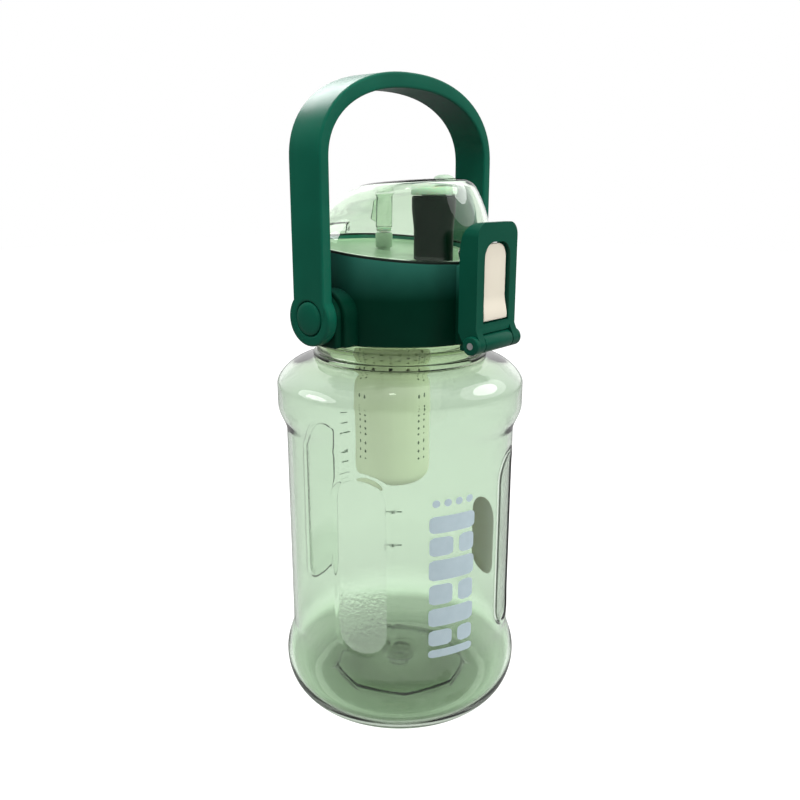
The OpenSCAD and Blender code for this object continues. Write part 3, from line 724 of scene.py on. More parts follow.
DARK_INK = printed_ink("dark_ink", (0.09, 0.15, 0.11), (0.13, 0.2, 0.15))


def finish_piece(obj, material, body, slot, *replaced):
    """Gives a piece its material and its body, and hides the solids it stands for."""
    if not obj.data.materials:
        obj.data.materials.append(material)
    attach(obj, body)
    if replaced:
        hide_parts(*replaced)
    return obj


def turned(name, profile, steps, y, material, body, slot, *replaced):
    """A round piece that stands upright at y."""
    obj = lathe(name, profile, steps, (0, y, 0))
    shade(obj, 50)
    return finish_piece(obj, material, body, slot, *replaced)


# Bottle

def panel_distance(turn, height):
    """Distance from a point of the waist to the nearest grip panel's edge, negative inside it."""
    best = BULGE_R
    for panel in PANEL_TURNS:
        around = (turn - panel + 180) % 360 - 180
        across = abs(math.radians(around) * WAIST_R) - (PANEL_W / 2 - PANEL_ROUND)
        along = abs(height - PANEL_MID) - (PANEL_H / 2 - PANEL_ROUND)
        outside = math.hypot(max(across, 0), max(along, 0))
        best = min(best, outside + min(max(across, along), 0) - PANEL_ROUND)
    return best


def panel_sink(distance, edge, rim):
    """How far the wall lies inwards at that distance: a step behind a low rim."""
    t = min(max((edge - distance) / (2 * edge), 0), 1)
    step = PANEL_DEPTH * t * t * (3 - 2 * t)
    return step - rim * math.exp(-((distance - 2 * edge) / edge) ** 2)


def wall_place(point):
    """Turn in degrees, radius and height in millimetres of a point of the jug."""
    x, y, z = point / MM
    return math.degrees(math.atan2(x, -y)), math.hypot(x, y), z


def punt_side(turn):
    """Radius of a rounded polygon at a turn, as a share of the circle round it."""
    half = math.pi / PUNT_SIDES
    around = math.radians(turn) % (2 * half) - half
    return 0.35 + 0.65 * math.cos(half) / math.cos(around)


def at_panel_edge(face):
    turn, radius, z = wall_place(face.center)
    on_waist = WAIST_Z < z < WAIST_TOP and radius > WAIST_R - WALL / 2
    return on_waist and abs(panel_distance(turn, z)) < PANEL_BAND


def bottle():
    """The blown bottle with its wall, panels and punt."""
    foot = [(0, 7.6), (2.2, 7.5), (4.2, 6.8), (6.2, 6.9), (7.6, 8.2), (9.5, 9.0), (14, 9.0), (20, 8.0),
            (26, 6.9), (PUNT_EDGE_R - 1, 5.7), (PUNT_EDGE_R - 0.4, 5.5), (PUNT_EDGE_R - 0.1, 5.3),
            (PUNT_EDGE_R, 4.4), (PUNT_EDGE_R + 0.1, 3.5), (PUNT_EDGE_R + 0.4, 3.2), (PUNT_EDGE_R + 1, 2.7),
            (36.5, 1.3), (40, 0.2)]
    outside = foot + [(41.5, 0)]
    outside += quarter((FOOT_R, 0), (BULGE_R, LOWER_RING_Z), 14)
    outside += slope((BULGE_R, LOWER_RING_Z), (WAIST_R, WAIST_Z), 10)[1:]
    outside += straight((WAIST_R, WAIST_Z), (WAIST_R, WAIST_TOP), 72)[1:]
    outside += slope((WAIST_R, WAIST_TOP), (BULGE_R, BAND_Z), 10)[1:]
    outside += straight((BULGE_R, BAND_Z), (BULGE_R, BAND_TOP), 3)[1:]
    rise = RING_Z - BAND_TOP
    outside += bend((BULGE_R, BAND_TOP), (BULGE_R, BAND_TOP + 0.25 * rise),
                    (BULGE_R - 0.6 * rise, RING_Z), (NECK_RING_R + 0.8, RING_Z - 0.1), 12)[1:]
    outside += arc((NECK_RING_R - 0.8, RING_Z + 1.0), 0.9, -60, 0, 3)
    outside += arc((NECK_RING_R - 1.0, NECK_Z - 1.0), 1.0, 0, 80, 4)
    outside += [(NECK_R + 0.3, NECK_Z), (NECK_R, NECK_Z + 0.4)]
    outside += [(NECK_R, BEAD_Z - 0.4), (NECK_R + 0.4, BEAD_Z)]
    outside += arc((BEAD_R - 0.8, BEAD_Z + 0.8), 0.8, -80, 0, 4)
    outside += arc((BEAD_R - 0.8, FINISH_Z - 0.8), 0.8, 0, 80, 4)
    outside += [(FINISH_R + 0.3, FINISH_Z), (FINISH_R, FINISH_Z + 0.4)]
    outside += arc((FINISH_R - 0.7, RIM_Z - 0.7), 0.7, 0, 90, 4)
    inside = arc((MOUTH_R + 0.5, RIM_Z - 0.5), 0.5, 90, 180, 3)
    inside += [(MOUTH_R, FINISH_Z), (MOUTH_R, NECK_Z - 1)]
    inside += bend((MOUTH_R, RING_Z + 0.4), (BULGE_R - WALL - 0.6 * rise, RING_Z - WALL),
                   (BULGE_R - WALL, BAND_TOP + 0.25 * rise - WALL), (BULGE_R - WALL, BAND_TOP - 1), 12)
    inside += straight((BULGE_R - WALL, BAND_TOP - 1), (BULGE_R - WALL, BAND_Z), 3)[1:]
    inside += slope((BULGE_R - WALL, BAND_Z), (WAIST_R - WALL, WAIST_TOP), 10)[1:]
    inside += straight((WAIST_R - WALL, WAIST_TOP), (WAIST_R - WALL, WAIST_Z), 72)[1:]
    inside += slope((WAIST_R - WALL, WAIST_Z), (BULGE_R - WALL, LOWER_RING_Z), 10)[1:]
    inside += quarter((FOOT_R - 1, FLOOR_T), (BULGE_R - WALL, LOWER_RING_Z), 14)[-2::-1]
    inside += [(r, z + FLOOR_T) for r, z in reversed(foot)]
    obj = lathe("clear_jug_wall", outside + inside, BOTTLE_STEPS)
    pick_faces(obj, at_panel_edge)
    bpy.ops.mesh.subdivide(number_cuts=2)
    bpy.ops.mesh.select_mode(type="VERT")
    leave()
    for vertex in obj.data.vertices:
        turn, radius, z = wall_place(vertex.co)
        share = 1
        if WAIST_Z <= z <= WAIST_TOP and WAIST_R - 0.6 < radius < WAIST_R + 0.1:
            soft = abs(turn - PANEL_TURNS[1]) < 45
            edge, rim = (SOFT_PANEL_EDGE, 0) if soft else (PANEL_EDGE, PANEL_RIM)
            share = (WAIST_R - panel_sink(panel_distance(turn, z), edge, rim)) / radius
        elif WAIST_Z <= z <= WAIST_TOP and radius < WAIST_R - WALL + 0.1:
            share = (radius - panel_sink(panel_distance(turn, z), SOFT_PANEL_EDGE, 0)) / radius
        elif z < PUNT_TOP and abs(radius - PUNT_EDGE_R) < PUNT_REACH:
            share = 1 - (1 - punt_side(turn)) * (1 - abs(radius - PUNT_EDGE_R) / PUNT_REACH)
        vertex.co.x *= share
        vertex.co.y *= share
    obj.data.materials.append(CLEAR_BODY)
    obj.data.materials.append(FROSTED_GRIP)
    for face in obj.data.polygons:
        turn, radius, z = wall_place(face.center)
        if WAIST_Z < z < WAIST_TOP and radius > WAIST_R - PANEL_DEPTH - 0.5:
            if panel_distance(turn, z) < -0.8:
                face.material_index = 1
    shade(obj, 60)
    return finish_piece(obj, CLEAR_BODY, "bottle", "clear_body", "bottle_body", "bottle_shoulder",
                        "bottle_neck", "bottle_finish")


def neck_thread():
    """The screw thread on the neck: a ridge that climbs one turn and a quarter."""
    lead = 6.0
    ridge = [(FINISH_R + 0.02, -1.3), (FINISH_R + 1.1, -0.8), (FINISH_R + 1.35, 0), (FINISH_R + 1.1, 0.8),
             (FINISH_R + 0.02, 1.3)]
    start = FINISH_Z + 4
    obj = draw_line("neck_thread", [Vector((r, 0, start + h)) * MM for r, h in ridge])
    bpy.ops.mesh.select_all(action="SELECT")
    bpy.ops.mesh.edge_face_add()
    leave()
    add_modifier(obj, "SCREW", angle=math.radians(450), screw_offset=lead * 1.25 * MM, steps=120,
                 render_steps=120, use_merge_vertices=False)
    edit(obj)
    close_mesh()
    leave()
    shade(obj)
    return finish_piece(obj, CLEAR_BODY, "bottle", "clear_body")


# Prints on the body

def print_patch(turn, height, width, tall, radius, corner):
    """A thin patch of ink with round corners that follows the wall."""
    columns, rows = max(6, int(width / 1.2)), max(10, int(tall / 0.8))
    deselect()
    bpy.ops.mesh.primitive_grid_add(x_subdivisions=columns, y_subdivisions=rows, size=1)
    obj = bpy.context.object
    for vertex in obj.data.vertices:
        u, v = vertex.co.x * width, vertex.co.y * tall
        excess = abs(v) - (tall / 2 - corner)
        if excess > 0:
            reach = math.sqrt(max(corner ** 2 - excess ** 2, 0)) - corner + width / 2
            u *= max(reach, 0.05) / (width / 2)
        around = math.radians(turn) + u / radius
        vertex.co = Vector((radius * math.sin(around), -radius * math.cos(around), height + v)) * MM
    add_modifier(obj, "SOLIDIFY", thickness=INK_T * MM, offset=1)
    edit(obj)
    close_mesh()
    leave()
    return obj


def prints():
    """A generic column of plain bars and dots in pale ink, a brown rounded patch and level marks."""
    on_wall = WAIST_R + 0.02
    turn = -24.5
    bars = ((107, 8), (96.5, 9), (85, 10), (73, 10), (61.5, 9), (51, 8), (43, 4))
    pieces = []
    for k, (height, tall) in enumerate(bars):
        if k % 2:
            pieces.append(print_patch(turn - 5.8, height, 11.5, tall, on_wall, 2.2))
            pieces.append(print_patch(turn + 7.4, height, 8, tall, on_wall, 2.2))
        else:
            pieces.append(print_patch(turn, height, 23, tall, on_wall, min(2.2, tall / 2)))
    for k in range(4):
        pieces.append(print_patch(turn - 8.7 + 5.8 * k, 117, 3.6, 3.6, on_wall, 1.8))
    finish_piece(join("pale_bars", pieces), PALE_INK, "bottle", "clear_body")
    oval = print_patch(70, 66, 21, 44, on_wall, 10)
    call(oval, "brown_oval")
    finish_piece(oval, BROWN_INK, "bottle", "clear_body")
    marks = []
    for k in range(6):
        marks.append(print_patch(165, 95 + 7.5 * k, 7 if k % 3 == 0 else 4.5, 0.7, on_wall, 0.3))
    for height in (47, 68):
        marks.append(print_patch(131, height, 4, 0.8, on_wall, 0.3))
        for k in range(3):
            marks.append(print_patch(135.5 + 2.4 * k, height, 1.4, 2.2, on_wall, 0.6))
    finish_piece(join("level_marks", marks), DARK_INK, "bottle", "clear_body")


# Cover

def cover_rings():
    """Rings of the cover's outside from the seam up to the roof: radius, y, z and tilt."""
    rings = [(COLLAR_R - 0.1, 0, SEAM_Z + 0.05, SEAM_TILT),
             (COLLAR_R - 0.1, 0, SEAM_Z + 3, SEAM_TILT),
             (COLLAR_R - 0.7, 0, SEAM_Z + 6.5, SEAM_TILT * 0.9),
             (40.6, -0.9, SEAM_Z + 10.5, 2.8),
             (38.0, -1.8, SEAM_Z + 15.5, -0.2),
             (33.9, -3.8, SEAM_Z + 20.5, -2.6),
             (30.0, -5.8, SEAM_Z + 24.6, -3.7),
             (26.7, -7.6, ROOF_Z - 1.6, -ROOF_TILT),
             (23.4, -ROOF_SHIFT, ROOF_Z, -ROOF_TILT),
             (18.0, -ROOF_SHIFT, ROOF_Z + 0.1, -ROOF_TILT),
             (8.0, -ROOF_SHIFT, ROOF_Z + 0.3, -ROOF_TILT)]
    return softened(rings)


def inner_rings(rings, wall):
    """The rings of the inside, one wall thickness in from the outside."""
    inside = []
    last = len(rings) - 1
    for i, (radius, y, z, tilt) in enumerate(rings):
        below, above = rings[max(i - 1, 0)], rings[min(i + 1, last)]
        out, up = above[2] - below[2], below[0] - above[0]
        span = math.hypot(out, up)
        inside.append((radius - wall * out / span, y, z - wall * up / span, tilt))
    return inside


def cover():
    """The clear flip cover with its hinge arm and front tongue."""
    rings = cover_rings()
    lip = [(COLLAR_R - COVER_WALL / 2, 0, SEAM_Z - 0.1, SEAM_TILT)]
    obj = loft("clear_cover_shell", inner_rings(rings, COVER_WALL)[::-1] + lip + rings, 128)
    fill_ring(obj, 0, 128)
    fill_ring(obj, 2 * len(rings), 128)
    cut(obj, cover_arm(), "UNION")
    tongue = slab("tongue", [(-42.0, 220.1), (-43.4, 220.1), (-43.3, 222.5), (-42.6, 224.5), (-41.6, 225.6),
                             (-41.2, 224)], "X", -11, 11, 0.4, 2)
    cut(obj, tongue, "UNION")
    shade(obj, 40)
    return finish_piece(obj, CLEAR_COVER, "cover", "clear_cover", "flip_cover")


def roof_tab():
    """The small round knob on the cover's roof."""
    low = ROOF_Z + math.sin(math.radians(ROOF_TILT)) * (TAB_Y_OUT - ROOF_SHIFT)
    profile = [(0, low - 0.3), (4.6, low - 0.3), (4.5, low + 0.4), (3.6, low + 1.3),
               (2, low + 1.8), (0, low + 1.9)]
    return turned("roof_tab", profile, 40, -TAB_Y_OUT, PALE_DECK, "cover", "clear_cover")


def cover_arm():
    """The arm at the rear that carries the cover on its hinge."""
    front = HINGE_Y - HINGE_R
    top = SEAM_Z + 11
    outline = [(ARM_ROOT, top - 5.6), (front, top - 5.6), (front, HINGE_Z)]
    outline += arc((HINGE_Y, HINGE_Z), HINGE_R, 180, 360, 16)[1:]
    outline += arc((HINGE_Y, HINGE_Z), HINGE_R, 0, 80, 6)[1:]
    outline += [(front + ARM_T, HINGE_Z + 6.5), (front + ARM_T, top - 2.5), (front + ARM_T - 1, top - 0.6),
                (front + 2, top), (ARM_ROOT, top)]
    arm = slab("arm", outline, "X", -ARM_HALF_W, ARM_HALF_W)
    slot_outline = [(HINGE_Y - 8, HINGE_Z - 8), (HINGE_Y + 8, HINGE_Z - 8), (HINGE_Y + 8, HINGE_Z + 8.5),
                    (HINGE_Y - 8, HINGE_Z + 8.5)]
    cut(arm, slab("slot", slot_outline, "X", -SPRING_HALF_W, SPRING_HALF_W))
    bore = lathe("bore", [(0, -20), (1.58, -20), (1.58, 20), (0, 20)], 32, (0, HINGE_Y, HINGE_Z), "X")
    cut(arm, bore)
    round_edges(arm, 0.5, 2)
    return arm


def vent_post():
    """The post under the cover that presses the plug on the vent."""
    low = VENT_TOP + 2.25
    top = ROOF_Z - COVER_WALL - math.sin(math.radians(ROOF_TILT)) * (VENT_Y + ROOF_SHIFT + VENT_R) - 0.6
    profile = [(0, low), (VENT_R - 0.5, low), (VENT_R - 0.1, low + 0.4), (VENT_R - 0.1, top - 1.5),
               (VENT_R + 0.5, top - 0.4), (VENT_R + 0.5, top), (0, top)]
    obj = lathe("vent_post", profile, 48, (0, VENT_Y, 0))
    fin = slab("fin", [(VENT_Y + 2.2, low + 1), (VENT_Y + 8, low + 4), (VENT_Y + 6.5, top - 4),
                       (VENT_Y + 2.2, top - 1)], "X", -0.8, 0.8, 0.25, 2)
    cut(obj, fin, "UNION")
    shade(obj)
    return finish_piece(obj, CLEAR_POST, "cover", "clear_cover")


def stoppers():
    """The soft plugs under the cover that close the spout and the vent."""
    low, high = node_box("spout_stopper")
    rim = high.x
    base = low.z + 2
    top = high.z
    profile = [(0, low.z), (4.6, low.z), (5.2, low.z + 0.5), (5.5, base), (rim - 0.5, base),
               (rim, base + 0.5), (rim, top - 1.4), (rim - 0.4, top - 0.7), (rim - 1.4, top), (0, top)]
    turned("spout_plug", profile, 72, SPOUT_Y, SILICONE, "cover", "soft_seal", "spout_stopper")
    low, high = node_box("vent_stopper")
    profile = [(0, low.z), (3.0, low.z), (3.5, low.z + 0.4), (3.6, high.z - 0.3), (3.3, high.z), (0, high.z)]
    turned("vent_plug", profile, 48, VENT_Y, SILICONE, "cover", "soft_seal", "vent_stopper")


def spout():
    """The drinking spout and the air inlet behind it."""
    waist = SPOUT_R - 0.5
    foot = SPOUT_FOOT
    profile = [(SPOUT_BORE_R, foot), (SPOUT_R + 1.6, foot), (SPOUT_R + 1.8, foot + 0.4),
               (SPOUT_R + 1.8, foot + 1.8), (SPOUT_R + 1.4, foot + 2.2), (waist + 0.6, foot + 2.3),
               (waist, foot + 3)]
    profile += slope((waist, SPOUT_TOP - 16), (SPOUT_R + 0.5, SPOUT_TOP - 4), 8)
    profile += arc((SPOUT_R - 0.5, SPOUT_TOP - 1.0), 1.0, 0, 90, 6)
    profile += arc((SPOUT_BORE_R + 0.6, SPOUT_TOP - 0.6), 0.6, 90, 180, 4)
    profile += [(SPOUT_BORE_R, foot)]
    turned("mouthpiece", profile, 72, SPOUT_Y, SPOUT_GREEN, "lid", "green_plastic", "drinking_spout")
    profile = [(2, VENT_FOOT), (3, VENT_FOOT), (3, VENT_TOP - 7), (3.7, VENT_TOP - 7), (4, VENT_TOP - 6.6),
               (4, VENT_TOP - 0.5), (3.6, VENT_TOP), (2.3, VENT_TOP), (2, VENT_TOP - 0.3), (2, VENT_FOOT)]
    turned("air_inlet", profile, 48, VENT_Y, PALE_DECK, "lid", "green_plastic", "vent_stub")


# Lid

def tombstone(radius):
    """A round head on a straight foot, as (y, z) points."""
    outline = [(radius, COLLAR_Z + 0.05)]
    outline += arc((0, PIVOT_Z), radius, 0, 180, 28)
    return outline + [(-radius, COLLAR_Z + 0.05)]


def lid_collar():
    """The lid's shell with its bosses, front housing, lock knuckle and rear ears."""
    profile = [(COLLAR_IN, COLLAR_Z), (COLLAR_R, COLLAR_Z), (COLLAR_R, SEAM_Z + 12), (COLLAR_IN, SEAM_Z + 12),
               (COLLAR_IN, COLLAR_Z)]
    collar = lathe("collar", profile, 160)
    edit(collar)
    tilt = math.radians(SEAM_TILT)
    up = Vector((0, -math.sin(tilt), math.cos(tilt)))
    bpy.ops.mesh.bisect(plane_co=Vector((0, 0, SEAM_Z)) * MM - up * RIM_DROP * MM, plane_no=up,
                        use_fill=True, clear_outer=True)
    close_mesh()
    leave()
    round_edges(collar, 0.7, 4)
    flange = slab("boss_flange", tombstone(BOSS_R), "X", BOSS_ROOT, BOSS_END - 4, 1.0, 4)
    hub = slab("boss_hub", tombstone(BOSS_R - BOSS_STEP), "X", BOSS_ROOT, BOSS_END, 1.0, 4)
    bosses = [flange, hub, mirrored(flange, "boss_flange_left"), mirrored(hub, "boss_hub_left")]
    housing_outline = [(HOUSING_FRONT, COLLAR_Z), (HOUSING_REAR, COLLAR_Z), (HOUSING_REAR, HOUSING_TOP),
                       (HOUSING_FRONT, HOUSING_TOP)]
    housing = slab("housing", housing_outline, "X", -HOUSING_HALF_W, HOUSING_HALF_W, 0.7)
    tab_low = LOCK_Z - KNUCKLE_R
    knuckle_outline = arc((LOCK_Y, LOCK_Z), KNUCKLE_R, 60, 270, 24)
    knuckle_outline += [(KNUCKLE_ROOT, tab_low), (KNUCKLE_ROOT, LOCK_Z + 2), (LOCK_Y + 3, LOCK_Z + 2)]
    knuckle = slab("knuckle", knuckle_outline, "X", -KNUCKLE_SPLIT, KNUCKLE_SPLIT, 0.35)
    ear_outline = [(EAR_ROOT, HINGE_Z - HINGE_R)]
    ear_outline += arc((HINGE_Y, HINGE_Z), HINGE_R, -90, 90, 20)
    ear_outline += [(EAR_ROOT, HINGE_Z + HINGE_R)]
    ear = slab("ear", ear_outline, "X", ARM_HALF_W + 0.5, ARM_HALF_W + 0.5 + EAR_T, 0.5)
    ears = [ear, mirrored(ear, "ear_left")]
    # Painted shade: the shell, bosses and ears take a darker copy of the green with a painted sheen at the
    # top; the knuckle takes the lock's darker copy
    for piece in [collar, housing] + bosses + ears:
        piece.data.materials.append(COLLAR_SHADE_AND_SHEEN)
    knuckle.data.materials.append(LOCK_SHADED_GREEN)
    obj = join("lid_collar", [collar, housing, knuckle] + bosses + ears)
    shade(obj)
    return finish_piece(obj, COLLAR_SHADE_AND_SHEEN, "lid", "green_plastic", "lid_shell")


def lid_deck():
    """The floor under the cover, with a low rim at its edge, tilted like the seam."""
    profile = [(0, -DECK_T), (COLLAR_IN + 0.1, -DECK_T), (COLLAR_IN + 0.1, 0), (COLLAR_IN - 1.5, 0),
               (COLLAR_IN - 2.2, -0.5), (0, -0.5)]
    obj = lathe("lid_deck", profile, 96)
    tilt = math.radians(SEAM_TILT)
    drop = Vector((0, DECK_DROP * math.sin(tilt), -DECK_DROP * math.cos(tilt)))
    stand(obj, Vector((0, 0, SEAM_Z)) + drop, (SEAM_TILT, 0, 0))
    shade(obj, 30)
    return finish_piece(obj, PALE_DECK, "lid", "green_plastic")


# Lock

def rounded_top(half, low, top, radius, count=10):
    """A plate's outline with two round upper corners, as (x, z) points."""
    outline = [(-half, low), (half, low)]
    outline += arc((half - radius, top - radius), radius, 0, 90, count)
    outline += arc((radius - half, top - radius), radius, 90, 180, count)
    return outline


def lock_frame():
    """The lock's frame with its window and the barrel ends of its hinge."""
    low = LOCK_Z + KNUCKLE_R + 0.5
    front_outline = rounded_top(LOCK_HALF_W, low, LOCK_TOP, LOCK_ROUND)
    frame_block = slab("lock", front_outline, "Y", LOCK_FRONT, LOCK_REAR)
    side = [(LOCK_FRONT - 1, low - 1), (LOCK_REAR + 0.01, low - 1)]
    side += quarter((LOCK_FRONT + LOCK_PLATE, LOCK_TOP), (LOCK_REAR + 0.01, LOCK_TOP - 13.5), 10)[::-1]
    side += [(LOCK_FRONT - 1, LOCK_TOP + 0.01)]
    cut(frame_block, slab("side", side, "X", -20, 20), "INTERSECT")
    hollow_outline = rounded_top(LOCK_HALF_W - LOCK_WALL, low - 5, LOCK_TOP - LOCK_WALL,
                                 LOCK_ROUND - LOCK_WALL)
    hollow = slab("hollow", hollow_outline, "Y", LOCK_FRONT + LOCK_PLATE, LOCK_REAR + 5)
    cut(frame_block, hollow)
    gap = 0.7
    window_outline = rounded_top(BUTTON_HALF_W + gap, BUTTON_LOW - gap, BUTTON_TOP + gap, BUTTON_ROUND + gap)
    window = slab("window", window_outline, "Y", LOCK_FRONT - 5, LOCK_REAR + 5)
    cut(frame_block, window)
    knuckle_outline = [(LOCK_FRONT, low + 2)]
    knuckle_outline += arc((LOCK_Y, LOCK_Z), KNUCKLE_R, 160, 320, 20)
    knuckle_outline += [(LOCK_REAR - 1, low - 1.5), (LOCK_REAR, low + 2)]
    for start, end in ((KNUCKLE_SPLIT + 0.5, LOCK_HALF_W), (-LOCK_HALF_W, -KNUCKLE_SPLIT - 0.5)):
        cut(frame_block, slab("lock_knuckle", knuckle_outline, "X", start, end), "UNION")
    round_edges(frame_block, 0.7, 4)
    end_outline = arc((LOCK_Y, LOCK_Z), KNUCKLE_R, 0, 360, 40)[:-1]
    barrel_end = slab("barrel_end", end_outline, "X", LOCK_HALF_W - 1, KNUCKLE_END - 0.05, 0.5)
    obj = join("lock_frame_moulding", [frame_block, barrel_end, mirrored(barrel_end, "barrel_end_left")])
    shade(obj)
    # Painted shade: the frame takes a darker copy of the satin green
    return finish_piece(obj, LOCK_SHADED_GREEN, "lock", "green_plastic", "lock_frame")


def button():
    """The push button: its side drawn out in width, then cut to the rounded outline of its face."""
    low, front = BUTTON_LOW, BUTTON_FRONT
    lip = front - 1.4
    side = [(front + BUTTON_T, BUTTON_TOP + 1), (front + BUTTON_T, low), (lip, low), (lip, low + 1.5)]
    side += slope((lip, low + 1.5), (front, low + 10.5), 10)[1:] + [(front, BUTTON_TOP + 1)]
    obj = slab("push_button", side, "X", -BUTTON_HALF_W - 1, BUTTON_HALF_W + 1)
    face_outline = rounded_top(BUTTON_HALF_W, low - 1, BUTTON_TOP, BUTTON_ROUND, 14)
    face = slab("face", face_outline, "Y", lip - 1, front + 5)
    cut(obj, face, "INTERSECT")
    round_edges(obj, 0.6, 4, 40)
    shade(obj, 40)
    return finish_piece(obj, CREAM, "button", "cream_plastic", "release_button")


# Handle

def arch(half_w, low, top, count=24):
    """A squared arch from the right foot over the top to the left foot, as (x, z) points."""
    points = []
    for i in range(2 * count + 1):
        t = math.pi / 2 * i / count
        c, s = math.cos(t), max(math.sin(t), 0)
        out = math.copysign(abs(c) ** (2 / ARCH_POWER), c)
        points.append((half_w * out, low + (top - low) * s ** (2 / ARCH_POWER)))
    return points


def handle():
    """The carry bow, with an eye at the foot of each leg."""
    half_w = HANDLE_W / 2
    bow_outline = arch(HANDLE_OUT, ARCH_Z, HANDLE_TOP)
    bow_outline += arch(HANDLE_IN, ARCH_Z, HANDLE_TOP - GRIP_T)[::-1]
    bow = slab("carry_bow", bow_outline, "Y", -half_w, half_w)
    meet = math.degrees(math.acos(half_w / EYE_R))
    leg_outline = [(half_w, ARCH_Z)] + [(-half_w, ARCH_Z)]
    leg_outline += arc((0, PIVOT_Z), EYE_R, 180 - meet, 360 + meet, 36)
    leg = slab("leg", leg_outline, "X", HANDLE_IN, HANDLE_OUT)
    obj = join("carry_bow", [bow, leg, mirrored(leg, "leg_left")])
    pick_faces(obj, lambda face: abs(face.center.z / MM - ARCH_Z) < 0.01 and abs(face.normal.z) > 0.9)
    bpy.ops.mesh.delete(type="FACE")
    bpy.ops.mesh.select_mode(type="VERT")
    close_mesh()
    leave()
    for side in (-1, 1):
        outer = side * HANDLE_OUT
        deep, clear = outer - side * 2.2, outer + side * 2
        seat_profile = [(0, deep), (CAP_R + 0.25, deep), (CAP_R + 0.25, clear), (0, clear)]
        cut(obj, lathe("cap_seat", seat_profile, 64, (0, 0, PIVOT_Z), "X"))
    round_edges(obj, 2.7, 8, 40)
    shade(obj, 40)
    return finish_piece(obj, SATIN_GREEN, "handle", "green_plastic", "carry_handle")


def caps():
    """The round caps in the handle's eyes."""
    for side, name in ((-1, "left"), (1, "right")):
        outer = HANDLE_OUT
        crown = [(0, outer - 2.1), (CAP_R, outer - 2.1), (CAP_R, outer - 0.6), (CAP_R - 0.2, outer - 0.1),
                 (CAP_R - 0.8, outer + 0.25), (CAP_R - 2.2, outer + 0.5), (CAP_R - 4.5, outer + 0.65),
                 (0, outer + 0.7)]
        cap = lathe(f"{name}_cap", [(r, side * x) for r, x in crown], 72, (0, 0, PIVOT_Z), "X")
        shade(cap, 50)
        finish_piece(cap, SATIN_GREEN, "handle", "green_plastic", f"{name}_pivot_cap")


# Springs

def coil(name, centre, radius, wire, turns, length, axis):
    """A round wire wound into a coil along X or Y."""
    deselect()
    bpy.ops.mesh.primitive_circle_add(vertices=10, radius=wire / 2 * MM, location=(radius * MM, 0, 0),
                                      rotation=(math.pi / 2, 0, 0))
    obj = bpy.context.object
    call(obj, name)
    bpy.ops.object.transform_apply(location=True, rotation=True, scale=True)
    add_modifier(obj, "SCREW", angle=2 * math.pi * turns, screw_offset=length * MM, steps=int(28 * turns),
                 render_steps=int(28 * turns), use_merge_vertices=False)
    edit(obj)
    bpy.ops.mesh.select_all(action="DESELECT")
    bpy.ops.mesh.select_non_manifold()
    bpy.ops.mesh.edge_face_add()
    close_mesh()
    leave()
    half = length / 2
    if axis == "X":
        stand(obj, Vector(centre) - Vector((half, 0, 0)), (90, 0, 90))
    else:
        stand(obj, Vector(centre) - Vector((0, half, 0)), (-90, 0, 0), (1, -1, 1))
    edit(obj)
    close_mesh()
    leave()
    shade(obj, 60)
    return obj


def springs():
    """The button's coil, on a mesh of its own, and the cover's coil."""
    low, high = node_box("button_spring")
    middle = (low + high) / 2
    spring = coil("button_coil", middle, 3.2, 0.6, 3, high.y - low.y - 0.6, "Y")
    finish_piece(spring, STEEL, "lid", "steel", "button_spring")
    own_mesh(spring)
    spring = coil("cover_coil", (0, HINGE_Y, HINGE_Z), 2.9, 0.7, 5, 2 * (SPRING_HALF_W - 0.8), "X")
    finish_piece(spring, STEEL, "lid", "steel", "cover_spring")


# Carried over from the construction
# Painted shade: the lid's insert takes a darker copy of the green
KEPT = {"rim_seal": SILICONE, "lid_insert": SHADED_GREEN, "cover_seal": DARK_RUBBER,
        "cover_hinge_pin": STEEL, "lock_hinge_pin": STEEL, "left_pivot_screw": STEEL,
        "right_pivot_screw": STEEL, "strainer_holder": CLEAR_POST, "strainer_basket": STRAINER_BEIGE}


def dress_kept_nodes():
    for name, material in KEPT.items():
        obj = nodes[name]
        obj.data.materials.clear()
        obj.data.materials.append(material)
        shade(obj)


# Studio

def camera():
    """The photograph's view: 36 mm lens on a 36 mm square frame."""
    distance, height, pitch, turn = 378.2, 251.9, 15.1, math.radians(-49.9)
    place = Vector((distance * math.sin(turn), -distance * math.cos(turn), height)) * MM
    bpy.ops.object.camera_add(location=place, rotation=(math.radians(90 - pitch), 0, turn))
    obj = bpy.context.object
    obj.data.lens = 36
    obj.data.sensor_width = 36
    obj.data.clip_start = 0.01
    bpy.context.scene.camera = obj


def paper_level(tree, low, lift):
    """1 for the camera and straight through clear walls; low where mirrored, lifted inside a wall."""
    path = add_node(tree, "ShaderNodeLightPath").outputs
    inside = maths(tree, "GREATER_THAN", path["Transmission Depth"], 0.5)
    unmirrored = maths(tree, "LESS_THAN", path["Glossy Depth"], 0.5)
    seen = maths(tree, "MAXIMUM", path["Is Camera Ray"], times(tree, inside, unmirrored))
    dim = maths(tree, "ADD", low, times(tree, inside, lift))
    return maths(tree, "ADD", seen, times(tree, dim, minus(tree, 1.0, seen)))


def white_studio():
    """White paper all round; what mirrors it finds it white above and behind the jug and dim in front."""
    world = bpy.data.worlds.new("white_studio")
    bpy.context.scene.world = world
    world.use_nodes = True
    tree = world.node_tree
    place = add_node(tree, "ShaderNodeTexCoord")
    behind = add_node(tree, "ShaderNodeVectorMath", operation="DOT_PRODUCT")
    feed(behind.inputs[0], place.outputs["Generated"])
    feed(behind.inputs[1], (0.6, 0.5, 0.62))
    mirror = follow(tree, behind.outputs["Value"], 0.1, 0.8, 0.12, 1.1)
    put(tree.nodes["Background"], Color=(1, 1, 1, 1), Strength=paper_level(tree, mirror, 0.25))


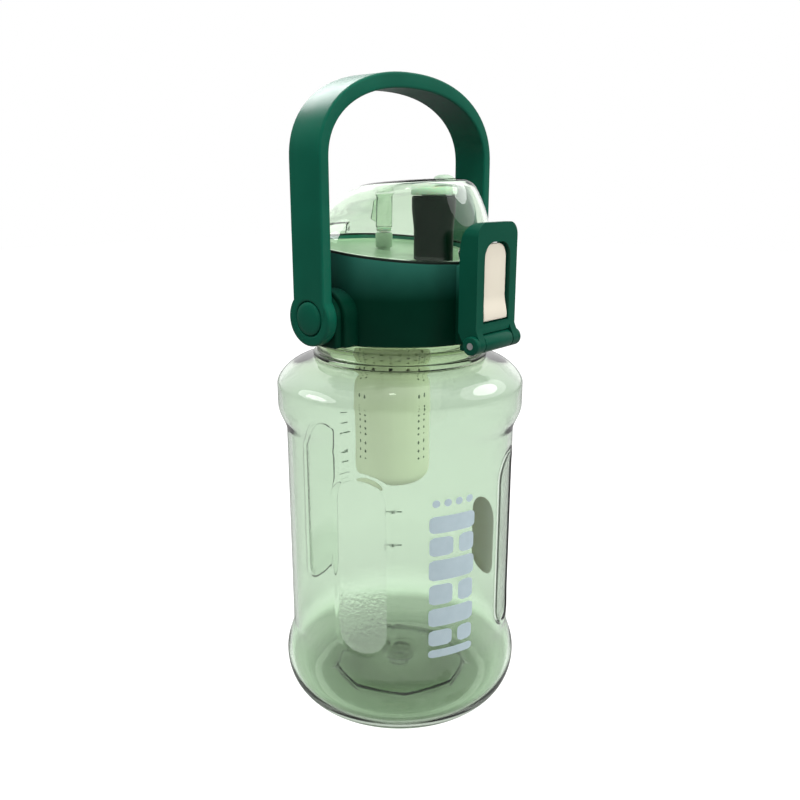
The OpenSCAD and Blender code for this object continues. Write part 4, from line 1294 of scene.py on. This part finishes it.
def floor():
    """A white floor that the camera sees as white paper, with a faint shadow."""
    deselect()
    bpy.ops.mesh.primitive_plane_add(size=6, location=(0, 0, 0))
    obj = bpy.context.object
    obj.name = "studio_floor"
    material, tree, shader = new_material("pale_floor")
    put(shader, Base_Color=(0.2, 0.2, 0.2, 1), Roughness=1.0, Specular_IOR_Level=0.0,
        Emission_Color=(0.97, 0.97, 0.97, 1), Emission_Strength=paper_level(tree, 0.05, 0.75))
    obj.data.materials.append(material)


def lamp(name, place, target_z, size, power, panel=False):
    """A soft lamp, or a panel that only shows where it is mirrored."""
    bpy.ops.object.light_add(type="AREA", location=Vector(place) * MM)
    obj = bpy.context.object
    obj.name = name
    obj.data.shape = "ELLIPSE"
    obj.data.size, obj.data.size_y = (s * MM for s in size)
    obj.data.energy = power
    way = Vector((0, 0, target_z)) - Vector(place)
    obj.rotation_euler = way.to_track_quat("-Z", "Y").to_euler()
    obj.visible_diffuse = not panel
    obj.visible_glossy = panel
    obj.visible_transmission = False
    return obj


def lamps():
    """Soft lamps that light the jug and aren't mirrored in it."""
    lamp("window_left", (-760, 60, 520), 200, (600, 600), 2.8)
    lamp("soft_front", (420, -800, 520), 180, (520, 520), 10.5)
    lamp("soft_top", (-160, -40, 900), 200, (500, 500), 7.0)
    lamp("fill", (-560, -470, 620), 200, (600, 600), 2.0)


def only_on(lights, name, pieces):
    """The lamps are mirrored by these pieces alone."""
    receivers = bpy.data.collections.new(name)
    for piece in pieces:
        receivers.objects.link(piece)
    for light in lights:
        light.light_linking.receiver_collection = receivers


def wall_panels(walls):
    """White panels that show as highlights on the clear walls."""
    panels = [
        lamp("panel_left", (-578, 539, 485), 165, (350, 240), 1.25, panel=True),
        lamp("halo_left", (-570, 560, 515), 165, (700, 500), 2.7, panel=True),
        lamp("panel_right", (522, -413, 660), 165, (410, 300), 1.75, panel=True),
        lamp("halo_right", (512, -433, 640), 165, (780, 600), 1.75, panel=True),
        lamp("glint_top", (-200, -80, 1000), 165, (70, 70), 0.09, panel=True),
    ]
    only_on(panels, "clear_walls", walls)


def arch_sheen(bow):
    """A soft panel behind the jug that the handle's arch mirrors."""
    sheen = lamp("sheen_back", (230, 620, 900), 290, (560, 420), 7.0, panel=True)
    only_on([sheen], "arch_only", [bow])


camera()
white_studio()
floor()
lamps()
wall_panels([bottle(), neck_thread(), cover()])
prints()
roof_tab()
vent_post()
stoppers()
spout()
lid_collar()
lid_deck()
lock_frame()
button()
arch_sheen(handle())
caps()
springs()
dress_kept_nodes()

scene = bpy.context.scene
scene.view_settings.view_transform = "Standard"
